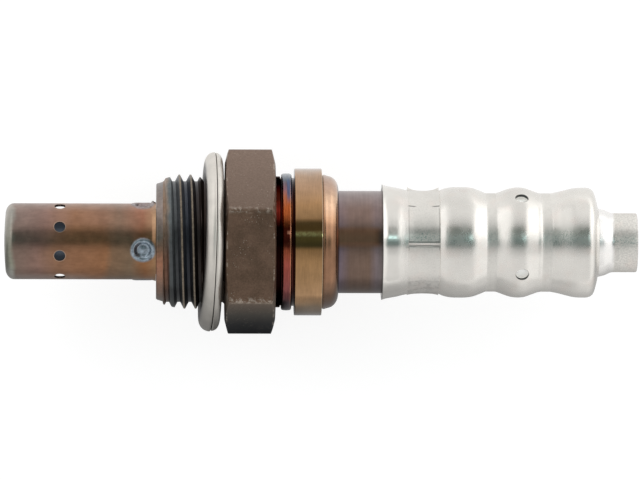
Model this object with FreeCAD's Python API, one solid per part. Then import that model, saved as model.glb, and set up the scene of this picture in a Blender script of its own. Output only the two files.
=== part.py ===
import FreeCAD
import Part
import math
import os

# Heated exhaust oxygen sensor with a screwed steel shell.
# Millimetres. X is the sensor's axis, tip at -X and lead end at +X.
# X = 0 is the seat face of the hexagon. Turns are counted from +Z towards +Y.

# Screwed shell, outside
THREAD_RADIUS = 9.0
THREAD_LENGTH = 5.5
THREAD_LEAD_IN = 0.35
NOSE_RADIUS = 8.0
NOSE_LENGTH = 0.9
NOSE_ROUND = 0.35
NECK_RADIUS = 8.1
NECK_LENGTH = 2.8
NECK_FILLET = 0.45
HEX_ACROSS_FLATS = 22.0
HEX_LENGTH = 6.77
HEX_CORNER_ROUND = 1.0
HEX_CHAMFER_LENGTH = 0.5
HEX_CHAMFER_WIDTH = 1.95
HEX_TURN = 20.0
LAND_RADIUS = 8.8
LAND_LENGTH = 0.64
NOTCH_RADIUS = 8.55
NOTCH_LENGTH = 0.16
BEAD_RADIUS = 9.2
BEAD_LENGTH = 1.34
GROOVE_RADIUS = 8.9
GROOVE_LENGTH = 0.41
COLLAR_RADIUS = 9.87
COLLAR_LENGTH = 3.66
COLLAR_EDGE = 0.15
LIP_RADIUS = 9.03
LIP_LENGTH = 2.24
LIP_ROUND = 1.85

# Screwed shell, inside
BOSS_WALL = 0.9
BOSS_LENGTH = 3.2
BOSS_CHAMFER = 0.3
LEDGE_DEPTH = 6.0
LEDGE_RISE = 1.6
FRONT_BORE_RADIUS = 6.2
BORE_STEP_STATION = 3.2
BORE_STEP_LENGTH = 1.0

# Two tubes that shield the element
TUBE_RADIUS = 5.1
TUBE_WALL = 0.3
TUBE_LENGTH = 20.34
TUBE_TIP_ROUND = 1.1
TUBE_TIP_DOME = 0.14
TUBE_TIP_HOLE_RADIUS = 1.0
TUBE_FLARE = 0.2
TUBE_FLARE_LENGTH = 0.7
GAS_HOLE_RADIUS = 0.7
GAS_HOLE_COUNT = 8
GAS_HOLE_FROM_TIP = 7.47
GAS_HOLE_TURN = 22.5
LINER_GAP = 0.8
LINER_WALL = 0.4
LINER_SETBACK = 0.45
LINER_TIP_ROUND = 0.9
LINER_TIP_HOLE_RADIUS = 0.75
LINER_TIP_GAP = 0.25
LINER_STEP_LENGTH = 1.2
LINER_HOLE_RADIUS = 0.6
LINER_HOLE_COUNT = 6
LINER_HOLE_FROM_NOSE = 5.6
STAKE_RADIUS = 1.05
STAKE_FLOOR_RADIUS = 0.62
STAKE_DEPTH = 0.45
STAKE_FROM_NOSE = 1.7
STAKE_COUNT = 4
STAKE_TURN = -13.0

# Captive folded gasket, hanging a little askew on the neck
GASKET_OVERHANG = 1.05
GASKET_INNER_RADIUS = 8.8
GASKET_THICKNESS = 2.35
GASKET_FRONT_LEG = 1.28
GASKET_SEAM = 0.17
GASKET_FOLD_SHARE = 0.28
GASKET_CENTRE = -1.75
GASKET_DROP = 0.5
GASKET_LEAN_UP = 1.2
GASKET_LEAN_NEAR = 2.0

# Sensing element and what seals it
ELEMENT_TIP_CLEARANCE = 1.95
ELEMENT_TIP_GAP = 1.0
PASSAGE_GAP = 0.35
ELEMENT_TIP_WALL = 0.85
ELEMENT_FLANGE_STATION = 0.3
ELEMENT_FLANGE_RADIUS = 5.6
ELEMENT_FLANGE_LENGTH = 2.0
ELEMENT_REAR_CONE = 1.1
ELEMENT_REAR_WALL = 2.25
ELEMENT_END_STATION = 20.0
ELEMENT_EDGE = 0.25
PACKING_THICKNESS = 0.45
CUSHION_THICKNESS = 0.35
SEAL_CLEARANCE = 0.05
SUPPORT_REAR_STATION = 0.55
TALC_REAR_STATION = 7.8
BUSH_LENGTH = 4.8
RING_INNER_RADIUS = 6.3

# Heater rod
HEATER_GAP = 0.25
HEATER_FRONT_GAP = 0.4
HEATER_END_STATION = 27.6
HEATER_EDGE = 0.3

# Inner casing tube
CASING_RADIUS = 6.87
CASING_WALL = 0.45
CASING_FLANGE_BEND = 0.45
CASING_FLANGE_WIDTH = 0.73
CASING_FLANGE_STATION = 13.3
CASING_BACK_RADIUS = 5.8
CASING_NECK_LENGTH = 2.5
CASING_STEP_LENGTH = 2.6
CASING_END_STATION = 46.6
CASING_VENT_RADIUS = 1.0

# Outer sleeve
SLEEVE_WALL = 0.4
MOUTH_STATION = 21.06
MOUTH_GAP = 0.33
MOUTH_SAG = 0.16
CRIMP_STATION = 24.5
CRIMP_LENGTH = 4.4
CRIMP_RADIUS = 6.85
CRIMP_EDGE_RISE = 0.1
CRIMP_RIDGE_RADIUS = 7.3
JAW_COUNT = 8
JAW_TURN = 20.5
JAW_FLATTENING = 8.0
SWELL_RADIUS = 7.4
FIRST_SWELL_STATION = 31.4
SECOND_SWELL_STATION = 39.35
THIRD_SWELL_STATION = 47.3
WAIST_RADIUS = 6.6
FIRST_WAIST_STATION = 35.05
SECOND_WAIST_STATION = 42.45
WAIST_LENGTH = 1.25
VENT_RADIUS = 0.875
VENT_COUNT = 4
VENT_STATION = 39.7
VENT_TURN = 53.5
CORNER_STATION = 48.45
CORNER_LENGTH = 1.1
CORNER_DROP = 0.85
END_FACE_CONE = 0.5
TAIL_ROOT_RADIUS = 4.63
TAIL_RADIUS = 3.97
TAIL_CONE_LENGTH = 1.8
TAIL_LENGTH = 3.5
TAIL_EDGE = 0.2

# Vent filter
FILTER_BULGE = 0.3
FILTER_OVERLAP = 0.5

# Ceramic block that keeps the terminals apart
BLOCK_FRONT_STATION = 24.0
BLOCK_FRONT_RADIUS = 5.0
BLOCK_FLANGE_STATION = 28.4
BLOCK_FLANGE_RADIUS = 5.8
BLOCK_FLANGE_LENGTH = 1.2
BLOCK_BACK_RADIUS = 5.15
BLOCK_LENGTH = 13.0
BLOCK_EDGE = 0.3
BLOCK_CAVITY_GAP = 1.75
BLOCK_CAVITY_DEPTH = 5.4
TERMINAL_HOLE_RADIUS = 1.25
TERMINAL_FROM_HEATER = 1.7
TERMINAL_TURN = 45.0

# Spring clip round the block
CLIP_WALL = 0.25
CLIP_FRONT_STATION = 24.7
CLIP_LENGTH = 3.5
CLIP_SLOT_WIDTH = 1.0
CLIP_SLOT_COUNT = 8
CLIP_BAND = 0.9

# Terminals
STRIP_THICKNESS = 0.3
STRIP_WIDTH = 1.5
BARREL_RADIUS = 0.95
BARREL_BORE_RADIUS = 0.65
BARREL_STATION = 31.0
BARREL_LENGTH = 4.0
CONTACT_GAP = 0.01
COLLAR_CLIP_LENGTH = 6.0
COLLAR_CLIP_GAP = 2.6
PLUG_CLIP_LENGTH = 8.0
PLUG_CLIP_WALL = 0.2

# Rubber grommet
GROMMET_FRONT_STATION = 41.0
GROMMET_FLANGE_RADIUS = 6.7
GROMMET_ROUND = 0.7
GROMMET_NECK_RADIUS = 3.45
GROMMET_NECK_GAP = 0.4
GROMMET_EDGE = 0.25
LEAD_HOLE_RADIUS = 0.95
LEAD_CIRCLE_RADIUS = 1.9
LEAD_COUNT = 4

# Radii that follow from the walls and gaps
TUBE_BORE = TUBE_RADIUS - TUBE_WALL
LINER_RADIUS = TUBE_BORE - LINER_GAP
LINER_BORE = LINER_RADIUS - LINER_WALL
BOSS_RADIUS = TUBE_BORE - LINER_WALL
PASSAGE_RADIUS = BOSS_RADIUS - BOSS_WALL
ELEMENT_TIP_RADIUS = LINER_BORE - ELEMENT_TIP_GAP
ELEMENT_ROOT_RADIUS = PASSAGE_RADIUS - PASSAGE_GAP
ELEMENT_BORE_RADIUS = ELEMENT_TIP_RADIUS - ELEMENT_TIP_WALL
HEATER_RADIUS = ELEMENT_BORE_RADIUS - HEATER_GAP
ELEMENT_REAR_RADIUS = ELEMENT_BORE_RADIUS + ELEMENT_REAR_WALL
BLOCK_CAVITY_RADIUS = HEATER_RADIUS + BLOCK_CAVITY_GAP
TERMINAL_CIRCLE_RADIUS = HEATER_RADIUS + TERMINAL_FROM_HEATER
REAR_BORE_RADIUS = CASING_RADIUS + CASING_FLANGE_WIDTH
MOUTH_RADIUS = CASING_RADIUS + MOUTH_GAP + SLEEVE_WALL
GASKET_OUTER_RADIUS = HEX_ACROSS_FLATS / 2 + GASKET_OVERHANG
CASING_BACK_BORE = CASING_BACK_RADIUS - CASING_WALL
CRIMP_BORE_RADIUS = CRIMP_RADIUS - SLEEVE_WALL
WAIST_BORE_RADIUS = WAIST_RADIUS - SLEEVE_WALL

# Stations that follow from the lengths
THREAD_BACK = -NECK_LENGTH
THREAD_FRONT = THREAD_BACK - THREAD_LENGTH
NOSE_FACE = THREAD_FRONT - NOSE_LENGTH
BOSS_FACE = NOSE_FACE - BOSS_LENGTH
TIP_FACE = NOSE_FACE - TUBE_LENGTH
LINER_FACE = TIP_FACE + TUBE_TIP_DOME + TUBE_WALL + LINER_TIP_GAP
ELEMENT_TIP = LINER_FACE + LINER_WALL + ELEMENT_TIP_CLEARANCE
LAND_BACK = HEX_LENGTH + LAND_LENGTH
BEAD_FRONT = LAND_BACK + NOTCH_LENGTH
BEAD_BACK = BEAD_FRONT + BEAD_LENGTH
COLLAR_FRONT = BEAD_BACK + GROOVE_LENGTH
COLLAR_BACK = COLLAR_FRONT + COLLAR_LENGTH
LIP_END = COLLAR_BACK + LIP_LENGTH
FLANGE_BACK = CASING_FLANGE_STATION + CASING_WALL
FLANGE_BEND_END = FLANGE_BACK + CASING_FLANGE_BEND
CRIMP_END = CRIMP_STATION + CRIMP_LENGTH
FIRST_WAIST_END = FIRST_WAIST_STATION + WAIST_LENGTH
SECOND_WAIST_END = SECOND_WAIST_STATION + WAIST_LENGTH
CORNER_END = CORNER_STATION + CORNER_LENGTH
TAIL_ROOT = CORNER_END + END_FACE_CONE
TAIL_START = TAIL_ROOT + TAIL_CONE_LENGTH
TAIL_END = TAIL_START + TAIL_LENGTH

ORIGIN = FreeCAD.Vector(0, 0, 0)
AXIS = FreeCAD.Vector(1, 0, 0)
HALF_TURN_SHARE = math.sqrt(0.5)


# Outlines in the plane of the axis
def at(station, radius):
    return FreeCAD.Vector(station, 0, radius)


# Each move ends at its last two values; a move of four values is an arc through its first two
def section(start, *moves):
    edges = []
    here = at(*start)
    for move in moves + (start,):
        there = at(*move[-2:])
        if here.distanceToPoint(there) > 1e-7:
            if len(move) == 4:
                edges.append(Part.Arc(here, at(*move[:2]), there).toShape())
            else:
                edges.append(Part.LineSegment(here, there).toShape())
            here = there
    return Part.Face(Part.Wire(edges))


def turned(start, *moves):
    return section(start, *moves).revolve(ORIGIN, AXIS, 360)


# Quarter round that starts along the axis and ends square to it
def round_off(x0, r0, x1, r1):
    return (
        x0 + (x1 - x0) * HALF_TURN_SHARE,
        r0 + (r1 - r0) * (1 - HALF_TURN_SHARE),
        x1,
        r1,
    )


# Quarter round that starts square to the axis and ends along it
def round_on(x0, r0, x1, r1):
    return (
        x0 + (x1 - x0) * (1 - HALF_TURN_SHARE),
        r0 + (r1 - r0) * HALF_TURN_SHARE,
        x1,
        r1,
    )


# Middle of the arc that leaves its first point along the axis and ends at its second
def arc_middle(x0, r0, x1, r1):
    run = x1 - x0
    rise = r1 - r0
    bend = (run * run + rise * rise) / (2 * abs(rise))
    half = math.asin(min(1.0, abs(run) / bend)) / 2
    along = math.copysign(bend * math.sin(half), run)
    across = math.copysign(bend * (1 - math.cos(half)), rise)
    return (x0 + along, r0 + across)


# Two tangent arcs that lead from one radius to another, level at both ends
def ease(x0, r0, x1, r1):
    middle = ((x0 + x1) / 2, (r0 + r1) / 2)
    return [
        arc_middle(x0, r0, *middle) + middle,
        arc_middle(x1, r1, *middle) + (x1, r1),
    ]


# Rise from a crease to a crest, then the fall to the next crease
def swell(x0, r0, crest_x, crest_r, x1, r1):
    return [
        arc_middle(crest_x, crest_r, x0, r0) + (crest_x, crest_r),
        arc_middle(crest_x, crest_r, x1, r1) + (x1, r1),
    ]


def rod(radius, front, back):
    return Part.makeCylinder(radius, back - front, FreeCAD.Vector(front, 0, 0), AXIS)


def pipe(outer, inner, front, back):
    return rod(outer, front, back).cut(rod(inner, front, back))


# Turns a shape that stands on +Z to its place round the axis
def swung(shape, turn):
    copy = shape.copy()
    copy.rotate(ORIGIN, AXIS, -turn)
    return copy


def ring_of(shape, count, first_turn):
    step = 360.0 / count
    return [swung(shape, first_turn + step * i) for i in range(count)]


def radial_drill(radius, station, reach):
    return Part.makeCylinder(radius, reach, FreeCAD.Vector(station, 0, 0), FreeCAD.Vector(0, 0, 1))


# Stakes that lock both tubes to the boss
def punches(surface_radius):
    floor = surface_radius - STAKE_DEPTH
    slope = (STAKE_RADIUS - STAKE_FLOOR_RADIUS) / STAKE_DEPTH
    height = 2 * STAKE_DEPTH
    top_radius = STAKE_FLOOR_RADIUS + slope * height
    base = FreeCAD.Vector(NOSE_FACE - STAKE_FROM_NOSE, 0, floor)
    punch = Part.makeCone(STAKE_FLOOR_RADIUS, top_radius, height, base, FreeCAD.Vector(0, 0, 1))
    return ring_of(punch, STAKE_COUNT, STAKE_TURN)


def staked(tube, outer, inner):
    middle = (outer + inner) / 2
    station = NOSE_FACE - STAKE_FROM_NOSE
    limit = rod(middle, station - STAKE_RADIUS * 2, station + STAKE_RADIUS * 2)
    dents = [punch.common(limit) for punch in punches(inner)]
    return tube.fuse(dents).cut(punches(outer))


# Shield tubes
def make_outer_tube():
    corner_x = TIP_FACE + TUBE_TIP_DOME + TUBE_TIP_ROUND
    corner_r = TUBE_RADIUS - TUBE_TIP_ROUND
    inside = TUBE_BORE
    flare_x = NOSE_FACE - TUBE_FLARE_LENGTH
    edge_x = TIP_FACE + TUBE_TIP_DOME
    tube = turned(
        (TIP_FACE, TUBE_TIP_HOLE_RADIUS),
        (edge_x, corner_r),
        round_on(edge_x, corner_r, corner_x, TUBE_RADIUS),
        (flare_x, TUBE_RADIUS),
        (NOSE_FACE, TUBE_RADIUS + TUBE_FLARE),
        (NOSE_FACE, inside + TUBE_FLARE),
        (flare_x, inside),
        (corner_x, inside),
        round_off(corner_x, inside, edge_x + TUBE_WALL, corner_r),
        (TIP_FACE + TUBE_WALL, TUBE_TIP_HOLE_RADIUS),
    )
    drill = radial_drill(GAS_HOLE_RADIUS, TIP_FACE + GAS_HOLE_FROM_TIP, TUBE_RADIUS * 2)
    tube = tube.cut(ring_of(drill, GAS_HOLE_COUNT, GAS_HOLE_TURN))
    return staked(tube, TUBE_RADIUS, inside)


def make_inner_tube():
    wall = LINER_WALL
    skirt_back = NOSE_FACE - LINER_SETBACK
    skirt_front = BOSS_FACE - wall
    step_front = skirt_front - LINER_STEP_LENGTH
    end_x = LINER_FACE
    corner_x = end_x + LINER_TIP_ROUND
    corner_r = LINER_RADIUS - LINER_TIP_ROUND
    tube = turned(
        (end_x, LINER_TIP_HOLE_RADIUS),
        (end_x, corner_r),
        round_on(end_x, corner_r, corner_x, LINER_RADIUS),
        (step_front, LINER_RADIUS),
        *ease(step_front, LINER_RADIUS, skirt_front, TUBE_BORE),
        (skirt_back, TUBE_BORE),
        (skirt_back, BOSS_RADIUS),
        (skirt_front, BOSS_RADIUS),
        *ease(skirt_front, BOSS_RADIUS, step_front, LINER_BORE),
        (corner_x, LINER_BORE),
        round_off(corner_x, LINER_BORE, end_x + wall, corner_r),
        (end_x + wall, LINER_TIP_HOLE_RADIUS),
    )
    drill = radial_drill(LINER_HOLE_RADIUS, NOSE_FACE - LINER_HOLE_FROM_NOSE, TUBE_RADIUS * 2)
    tube = tube.cut(ring_of(drill, LINER_HOLE_COUNT, 0))
    return staked(tube, TUBE_BORE, BOSS_RADIUS)


# Hexagon with rounded corners, chamfered at both ends
def make_hexagon():
    apothem = HEX_ACROSS_FLATS / 2
    vertex = apothem / math.cos(math.radians(30))
    reach = vertex - HEX_CORNER_ROUND / math.cos(math.radians(30)) + HEX_CORNER_ROUND
    tangent = HEX_CORNER_ROUND * math.tan(math.radians(30))
    half_side = vertex / 2 - tangent
    corners = []
    for i in range(6):
        turn = math.radians(HEX_TURN + 60 * i)
        before = turn - math.radians(30)
        after = turn + math.radians(30)
        first = hex_point(before, apothem, half_side)
        crest = hex_point(turn, reach, 0)
        last = hex_point(after, apothem, -half_side)
        corners.append((first, crest, last))
    edges = []
    for i, (first, crest, last) in enumerate(corners):
        edges.append(Part.Arc(first, crest, last).toShape())
        edges.append(Part.LineSegment(last, corners[(i + 1) % 6][0]).toShape())
    prism = Part.Face(Part.Wire(edges)).extrude(FreeCAD.Vector(HEX_LENGTH, 0, 0))
    face_radius = reach - HEX_CHAMFER_WIDTH
    blank = turned(
        (0, 0),
        (0, face_radius),
        (HEX_CHAMFER_LENGTH, reach),
        (HEX_LENGTH - HEX_CHAMFER_LENGTH, reach),
        (HEX_LENGTH, face_radius),
        (HEX_LENGTH, 0),
    )
    return prism.common(blank)


# Point of the hexagon's outline: out along a turn, then sideways
def hex_point(turn, out, aside):
    y = out * math.sin(turn) + aside * math.cos(turn)
    z = out * math.cos(turn) - aside * math.sin(turn)
    return FreeCAD.Vector(0, y, z)


def ledge_station(radius):
    share = (radius - PASSAGE_RADIUS) / (FRONT_BORE_RADIUS - PASSAGE_RADIUS)
    return LEDGE_RISE * share - LEDGE_DEPTH


def shoulder_station(radius):
    return ELEMENT_FLANGE_STATION + radius - ELEMENT_FLANGE_RADIUS


# Shell: boss, threaded nose, neck, hexagon, heat-upset bead, collar and rolled lip
def make_shell():
    lip_bend = LIP_END - LIP_ROUND
    body = turned(
        (BOSS_FACE, 0),
        (BOSS_FACE, BOSS_RADIUS - BOSS_CHAMFER),
        (BOSS_FACE + BOSS_CHAMFER, BOSS_RADIUS),
        (NOSE_FACE, BOSS_RADIUS),
        (NOSE_FACE, NOSE_RADIUS - NOSE_ROUND),
        round_on(NOSE_FACE, NOSE_RADIUS - NOSE_ROUND, NOSE_FACE + NOSE_ROUND, NOSE_RADIUS),
        (THREAD_FRONT, NOSE_RADIUS),
        (THREAD_FRONT + THREAD_LEAD_IN, THREAD_RADIUS),
        (THREAD_BACK - THREAD_LEAD_IN, THREAD_RADIUS),
        (THREAD_BACK, NECK_RADIUS),
        (-NECK_FILLET, NECK_RADIUS),
        round_off(-NECK_FILLET, NECK_RADIUS, 0, NECK_RADIUS + NECK_FILLET),
        (HEX_LENGTH, NECK_RADIUS + NECK_FILLET),
        (HEX_LENGTH, LAND_RADIUS),
        (LAND_BACK, LAND_RADIUS),
        (LAND_BACK, NOTCH_RADIUS),
        (BEAD_FRONT, NOTCH_RADIUS),
        (BEAD_FRONT + BEAD_LENGTH / 2, BEAD_RADIUS, BEAD_BACK, GROOVE_RADIUS),
        (COLLAR_FRONT, GROOVE_RADIUS),
        (COLLAR_FRONT, COLLAR_RADIUS - COLLAR_EDGE),
        (COLLAR_FRONT + COLLAR_EDGE, COLLAR_RADIUS),
        (COLLAR_BACK - COLLAR_EDGE, COLLAR_RADIUS),
        (COLLAR_BACK, COLLAR_RADIUS - COLLAR_EDGE),
        (COLLAR_BACK, LIP_RADIUS),
        (lip_bend, LIP_RADIUS),
        round_off(lip_bend, LIP_RADIUS, LIP_END, LIP_RADIUS - LIP_ROUND),
        (LIP_END, 0),
    )
    bore = turned(
        (BOSS_FACE, 0),
        (BOSS_FACE, PASSAGE_RADIUS),
        (-LEDGE_DEPTH, PASSAGE_RADIUS),
        (LEDGE_RISE - LEDGE_DEPTH, FRONT_BORE_RADIUS),
        (BORE_STEP_STATION, FRONT_BORE_RADIUS),
        (BORE_STEP_STATION + BORE_STEP_LENGTH, REAR_BORE_RADIUS),
        (FLANGE_BACK, REAR_BORE_RADIUS),
        (FLANGE_BACK, CASING_RADIUS + CASING_FLANGE_BEND),
        round_on(FLANGE_BACK, CASING_RADIUS + CASING_FLANGE_BEND, FLANGE_BEND_END, CASING_RADIUS),
        (LIP_END, CASING_RADIUS),
        (LIP_END, 0),
    )
    return body.fuse(make_hexagon()).cut(punches(BOSS_RADIUS)).cut(bore).removeSplitter()


# Gasket folded from sheet, open at its rim along a narrow seam
def make_gasket():
    front = -GASKET_THICKNESS / 2
    back = GASKET_THICKNESS / 2
    seam_front = front + GASKET_FRONT_LEG
    seam_back = seam_front + GASKET_SEAM
    front_round = GASKET_FRONT_LEG / 2
    back_round = (back - seam_back) / 2
    fold_round = GASKET_THICKNESS / 3
    rim = GASKET_OUTER_RADIUS
    fold = GASKET_INNER_RADIUS
    seam_root = fold + (rim - fold) * GASKET_FOLD_SHARE
    ring = turned(
        (front, fold + fold_round),
        (front, rim - front_round),
        (front + front_round, rim, seam_front, rim - front_round),
        (seam_front, seam_root),
        (seam_back, seam_root),
        (seam_back, rim - back_round),
        (seam_back + back_round, rim, back, rim - back_round),
        (back, fold + fold_round),
        round_on(back, fold + fold_round, back - fold_round, fold),
        (front + fold_round, fold),
        round_off(front + fold_round, fold, front, fold + fold_round),
    )
    ring.rotate(ORIGIN, FreeCAD.Vector(0, 0, 1), -GASKET_LEAN_UP)
    ring.rotate(ORIGIN, FreeCAD.Vector(0, 1, 0), GASKET_LEAN_NEAR)
    ring.translate(FreeCAD.Vector(GASKET_CENTRE, 0, -GASKET_DROP))
    return ring


# Closed ceramic thimble with a conical flange
def make_element():
    tip = ELEMENT_TIP
    tip_end = tip + ELEMENT_TIP_RADIUS
    flange_front = shoulder_station(ELEMENT_FLANGE_RADIUS)
    flange_back = flange_front + ELEMENT_FLANGE_LENGTH
    bore_end = tip + ELEMENT_TIP_WALL
    return turned(
        (tip, 0),
        round_on(tip, 0, tip_end, ELEMENT_TIP_RADIUS),
        (shoulder_station(ELEMENT_ROOT_RADIUS), ELEMENT_ROOT_RADIUS),
        (flange_front, ELEMENT_FLANGE_RADIUS),
        (flange_back, ELEMENT_FLANGE_RADIUS),
        (flange_back + ELEMENT_REAR_CONE, ELEMENT_REAR_RADIUS),
        (ELEMENT_END_STATION - ELEMENT_EDGE, ELEMENT_REAR_RADIUS),
        (ELEMENT_END_STATION, ELEMENT_REAR_RADIUS - ELEMENT_EDGE),
        (ELEMENT_END_STATION, ELEMENT_BORE_RADIUS + ELEMENT_EDGE),
        (ELEMENT_END_STATION - ELEMENT_EDGE, ELEMENT_BORE_RADIUS),
        (bore_end + ELEMENT_BORE_RADIUS, ELEMENT_BORE_RADIUS),
        round_off(bore_end + ELEMENT_BORE_RADIUS, ELEMENT_BORE_RADIUS, bore_end, 0),
    )


def make_front_packing():
    low = (PASSAGE_RADIUS + BOSS_RADIUS) / 2
    high = FRONT_BORE_RADIUS - 2 * SEAL_CLEARANCE
    return turned(
        (ledge_station(low), low),
        (ledge_station(high), high),
        (ledge_station(high) + PACKING_THICKNESS, high),
        (ledge_station(low) + PACKING_THICKNESS, low),
    )


def make_support_ring():
    low = PASSAGE_RADIUS + SEAL_CLEARANCE
    high = FRONT_BORE_RADIUS - SEAL_CLEARANCE
    seat_top = ELEMENT_FLANGE_RADIUS + SEAL_CLEARANCE
    return turned(
        (ledge_station(low) + PACKING_THICKNESS, low),
        (ledge_station(high) + PACKING_THICKNESS, high),
        (SUPPORT_REAR_STATION, high),
        (SUPPORT_REAR_STATION, seat_top),
        (shoulder_station(seat_top) - CUSHION_THICKNESS, seat_top),
        (shoulder_station(low) - CUSHION_THICKNESS, low),
    )


def make_element_cushion():
    low = PASSAGE_RADIUS + 2 * SEAL_CLEARANCE
    high = ELEMENT_FLANGE_RADIUS - 2 * SEAL_CLEARANCE
    return turned(
        (shoulder_station(low), low),
        (shoulder_station(high), high),
        (shoulder_station(high) - CUSHION_THICKNESS, high),
        (shoulder_station(low) - CUSHION_THICKNESS, low),
    )


# Pressed powder between the element's flange and the bush
def make_talc():
    flange_back = shoulder_station(ELEMENT_FLANGE_RADIUS) + ELEMENT_FLANGE_LENGTH
    return turned(
        (SUPPORT_REAR_STATION, ELEMENT_FLANGE_RADIUS),
        (SUPPORT_REAR_STATION, FRONT_BORE_RADIUS),
        (BORE_STEP_STATION, FRONT_BORE_RADIUS),
        (BORE_STEP_STATION + BORE_STEP_LENGTH, REAR_BORE_RADIUS),
        (TALC_REAR_STATION, REAR_BORE_RADIUS),
        (TALC_REAR_STATION, ELEMENT_REAR_RADIUS),
        (flange_back + ELEMENT_REAR_CONE, ELEMENT_REAR_RADIUS),
        (flange_back, ELEMENT_FLANGE_RADIUS),
    )


def make_bush():
    outer = REAR_BORE_RADIUS - SEAL_CLEARANCE
    inner = ELEMENT_REAR_RADIUS + SEAL_CLEARANCE
    return pipe(outer, inner, TALC_REAR_STATION, TALC_REAR_STATION + BUSH_LENGTH)


# Soft ring that the rolled lip squeezes through the casing's flange
def make_squeeze_ring():
    front = TALC_REAR_STATION + BUSH_LENGTH
    middle = (front + CASING_FLANGE_STATION) / 2
    outer = REAR_BORE_RADIUS - SEAL_CLEARANCE
    half = (CASING_FLANGE_STATION - front) / 2
    return turned(
        (front, RING_INNER_RADIUS + half),
        (front, outer - half),
        (middle, outer, CASING_FLANGE_STATION, outer - half),
        (CASING_FLANGE_STATION, RING_INNER_RADIUS + half),
        (middle, RING_INNER_RADIUS, front, RING_INNER_RADIUS + half),
    )


def make_heater():
    front = ELEMENT_TIP + ELEMENT_TIP_WALL + HEATER_FRONT_GAP
    return turned(
        (front, 0),
        (front, HEATER_RADIUS / 2),
        (front + HEATER_RADIUS / 2, HEATER_RADIUS),
        (HEATER_END_STATION - HEATER_EDGE, HEATER_RADIUS),
        (HEATER_END_STATION, HEATER_RADIUS - HEATER_EDGE),
        (HEATER_END_STATION, 0),
    )


# Drawn tube with a flange at the front, necked down under the sleeve
def make_casing():
    wall = CASING_WALL
    bend = CASING_FLANGE_BEND
    front = CASING_FLANGE_STATION
    rim = REAR_BORE_RADIUS - SEAL_CLEARANCE
    necked = MOUTH_STATION + CASING_NECK_LENGTH
    back_start = CRIMP_END + CASING_STEP_LENGTH
    casing = turned(
        (front, rim),
        (FLANGE_BACK, rim),
        (FLANGE_BACK, CASING_RADIUS + bend),
        round_on(FLANGE_BACK, CASING_RADIUS + bend, FLANGE_BEND_END, CASING_RADIUS),
        (MOUTH_STATION, CASING_RADIUS),
        *ease(MOUTH_STATION, CASING_RADIUS, necked, CRIMP_BORE_RADIUS),
        (CRIMP_END, CRIMP_BORE_RADIUS),
        *ease(CRIMP_END, CRIMP_BORE_RADIUS, back_start, CASING_BACK_RADIUS),
        (CASING_END_STATION, CASING_BACK_RADIUS),
        (CASING_END_STATION, CASING_BACK_BORE),
        (back_start, CASING_BACK_BORE),
        *ease(back_start, CASING_BACK_BORE, CRIMP_END, CRIMP_BORE_RADIUS - wall),
        (necked, CRIMP_BORE_RADIUS - wall),
        *ease(necked, CRIMP_BORE_RADIUS - wall, MOUTH_STATION, CASING_RADIUS - wall),
        (FLANGE_BEND_END, CASING_RADIUS - wall),
        round_off(FLANGE_BEND_END, CASING_RADIUS - wall, front, CASING_RADIUS + bend),
    )
    drill = radial_drill(CASING_VENT_RADIUS, VENT_STATION, SWELL_RADIUS * 2)
    return casing.cut(ring_of(drill, VENT_COUNT, VENT_TURN))


# What one crimping jaw presses away: its face is crowned along the axis and flatter than the sleeve
def make_jaw():
    middle = (CRIMP_STATION + CRIMP_END) / 2
    face = CRIMP_RADIUS + JAW_FLATTENING
    edge = face + CRIMP_EDGE_RISE
    clear = face + SWELL_RADIUS
    jaw = turned(
        (CRIMP_STATION, clear),
        (CRIMP_STATION, edge),
        (middle, face, CRIMP_END, edge),
        (CRIMP_END, clear),
    )
    jaw.translate(FreeCAD.Vector(0, 0, -JAW_FLATTENING))
    return jaw


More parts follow.
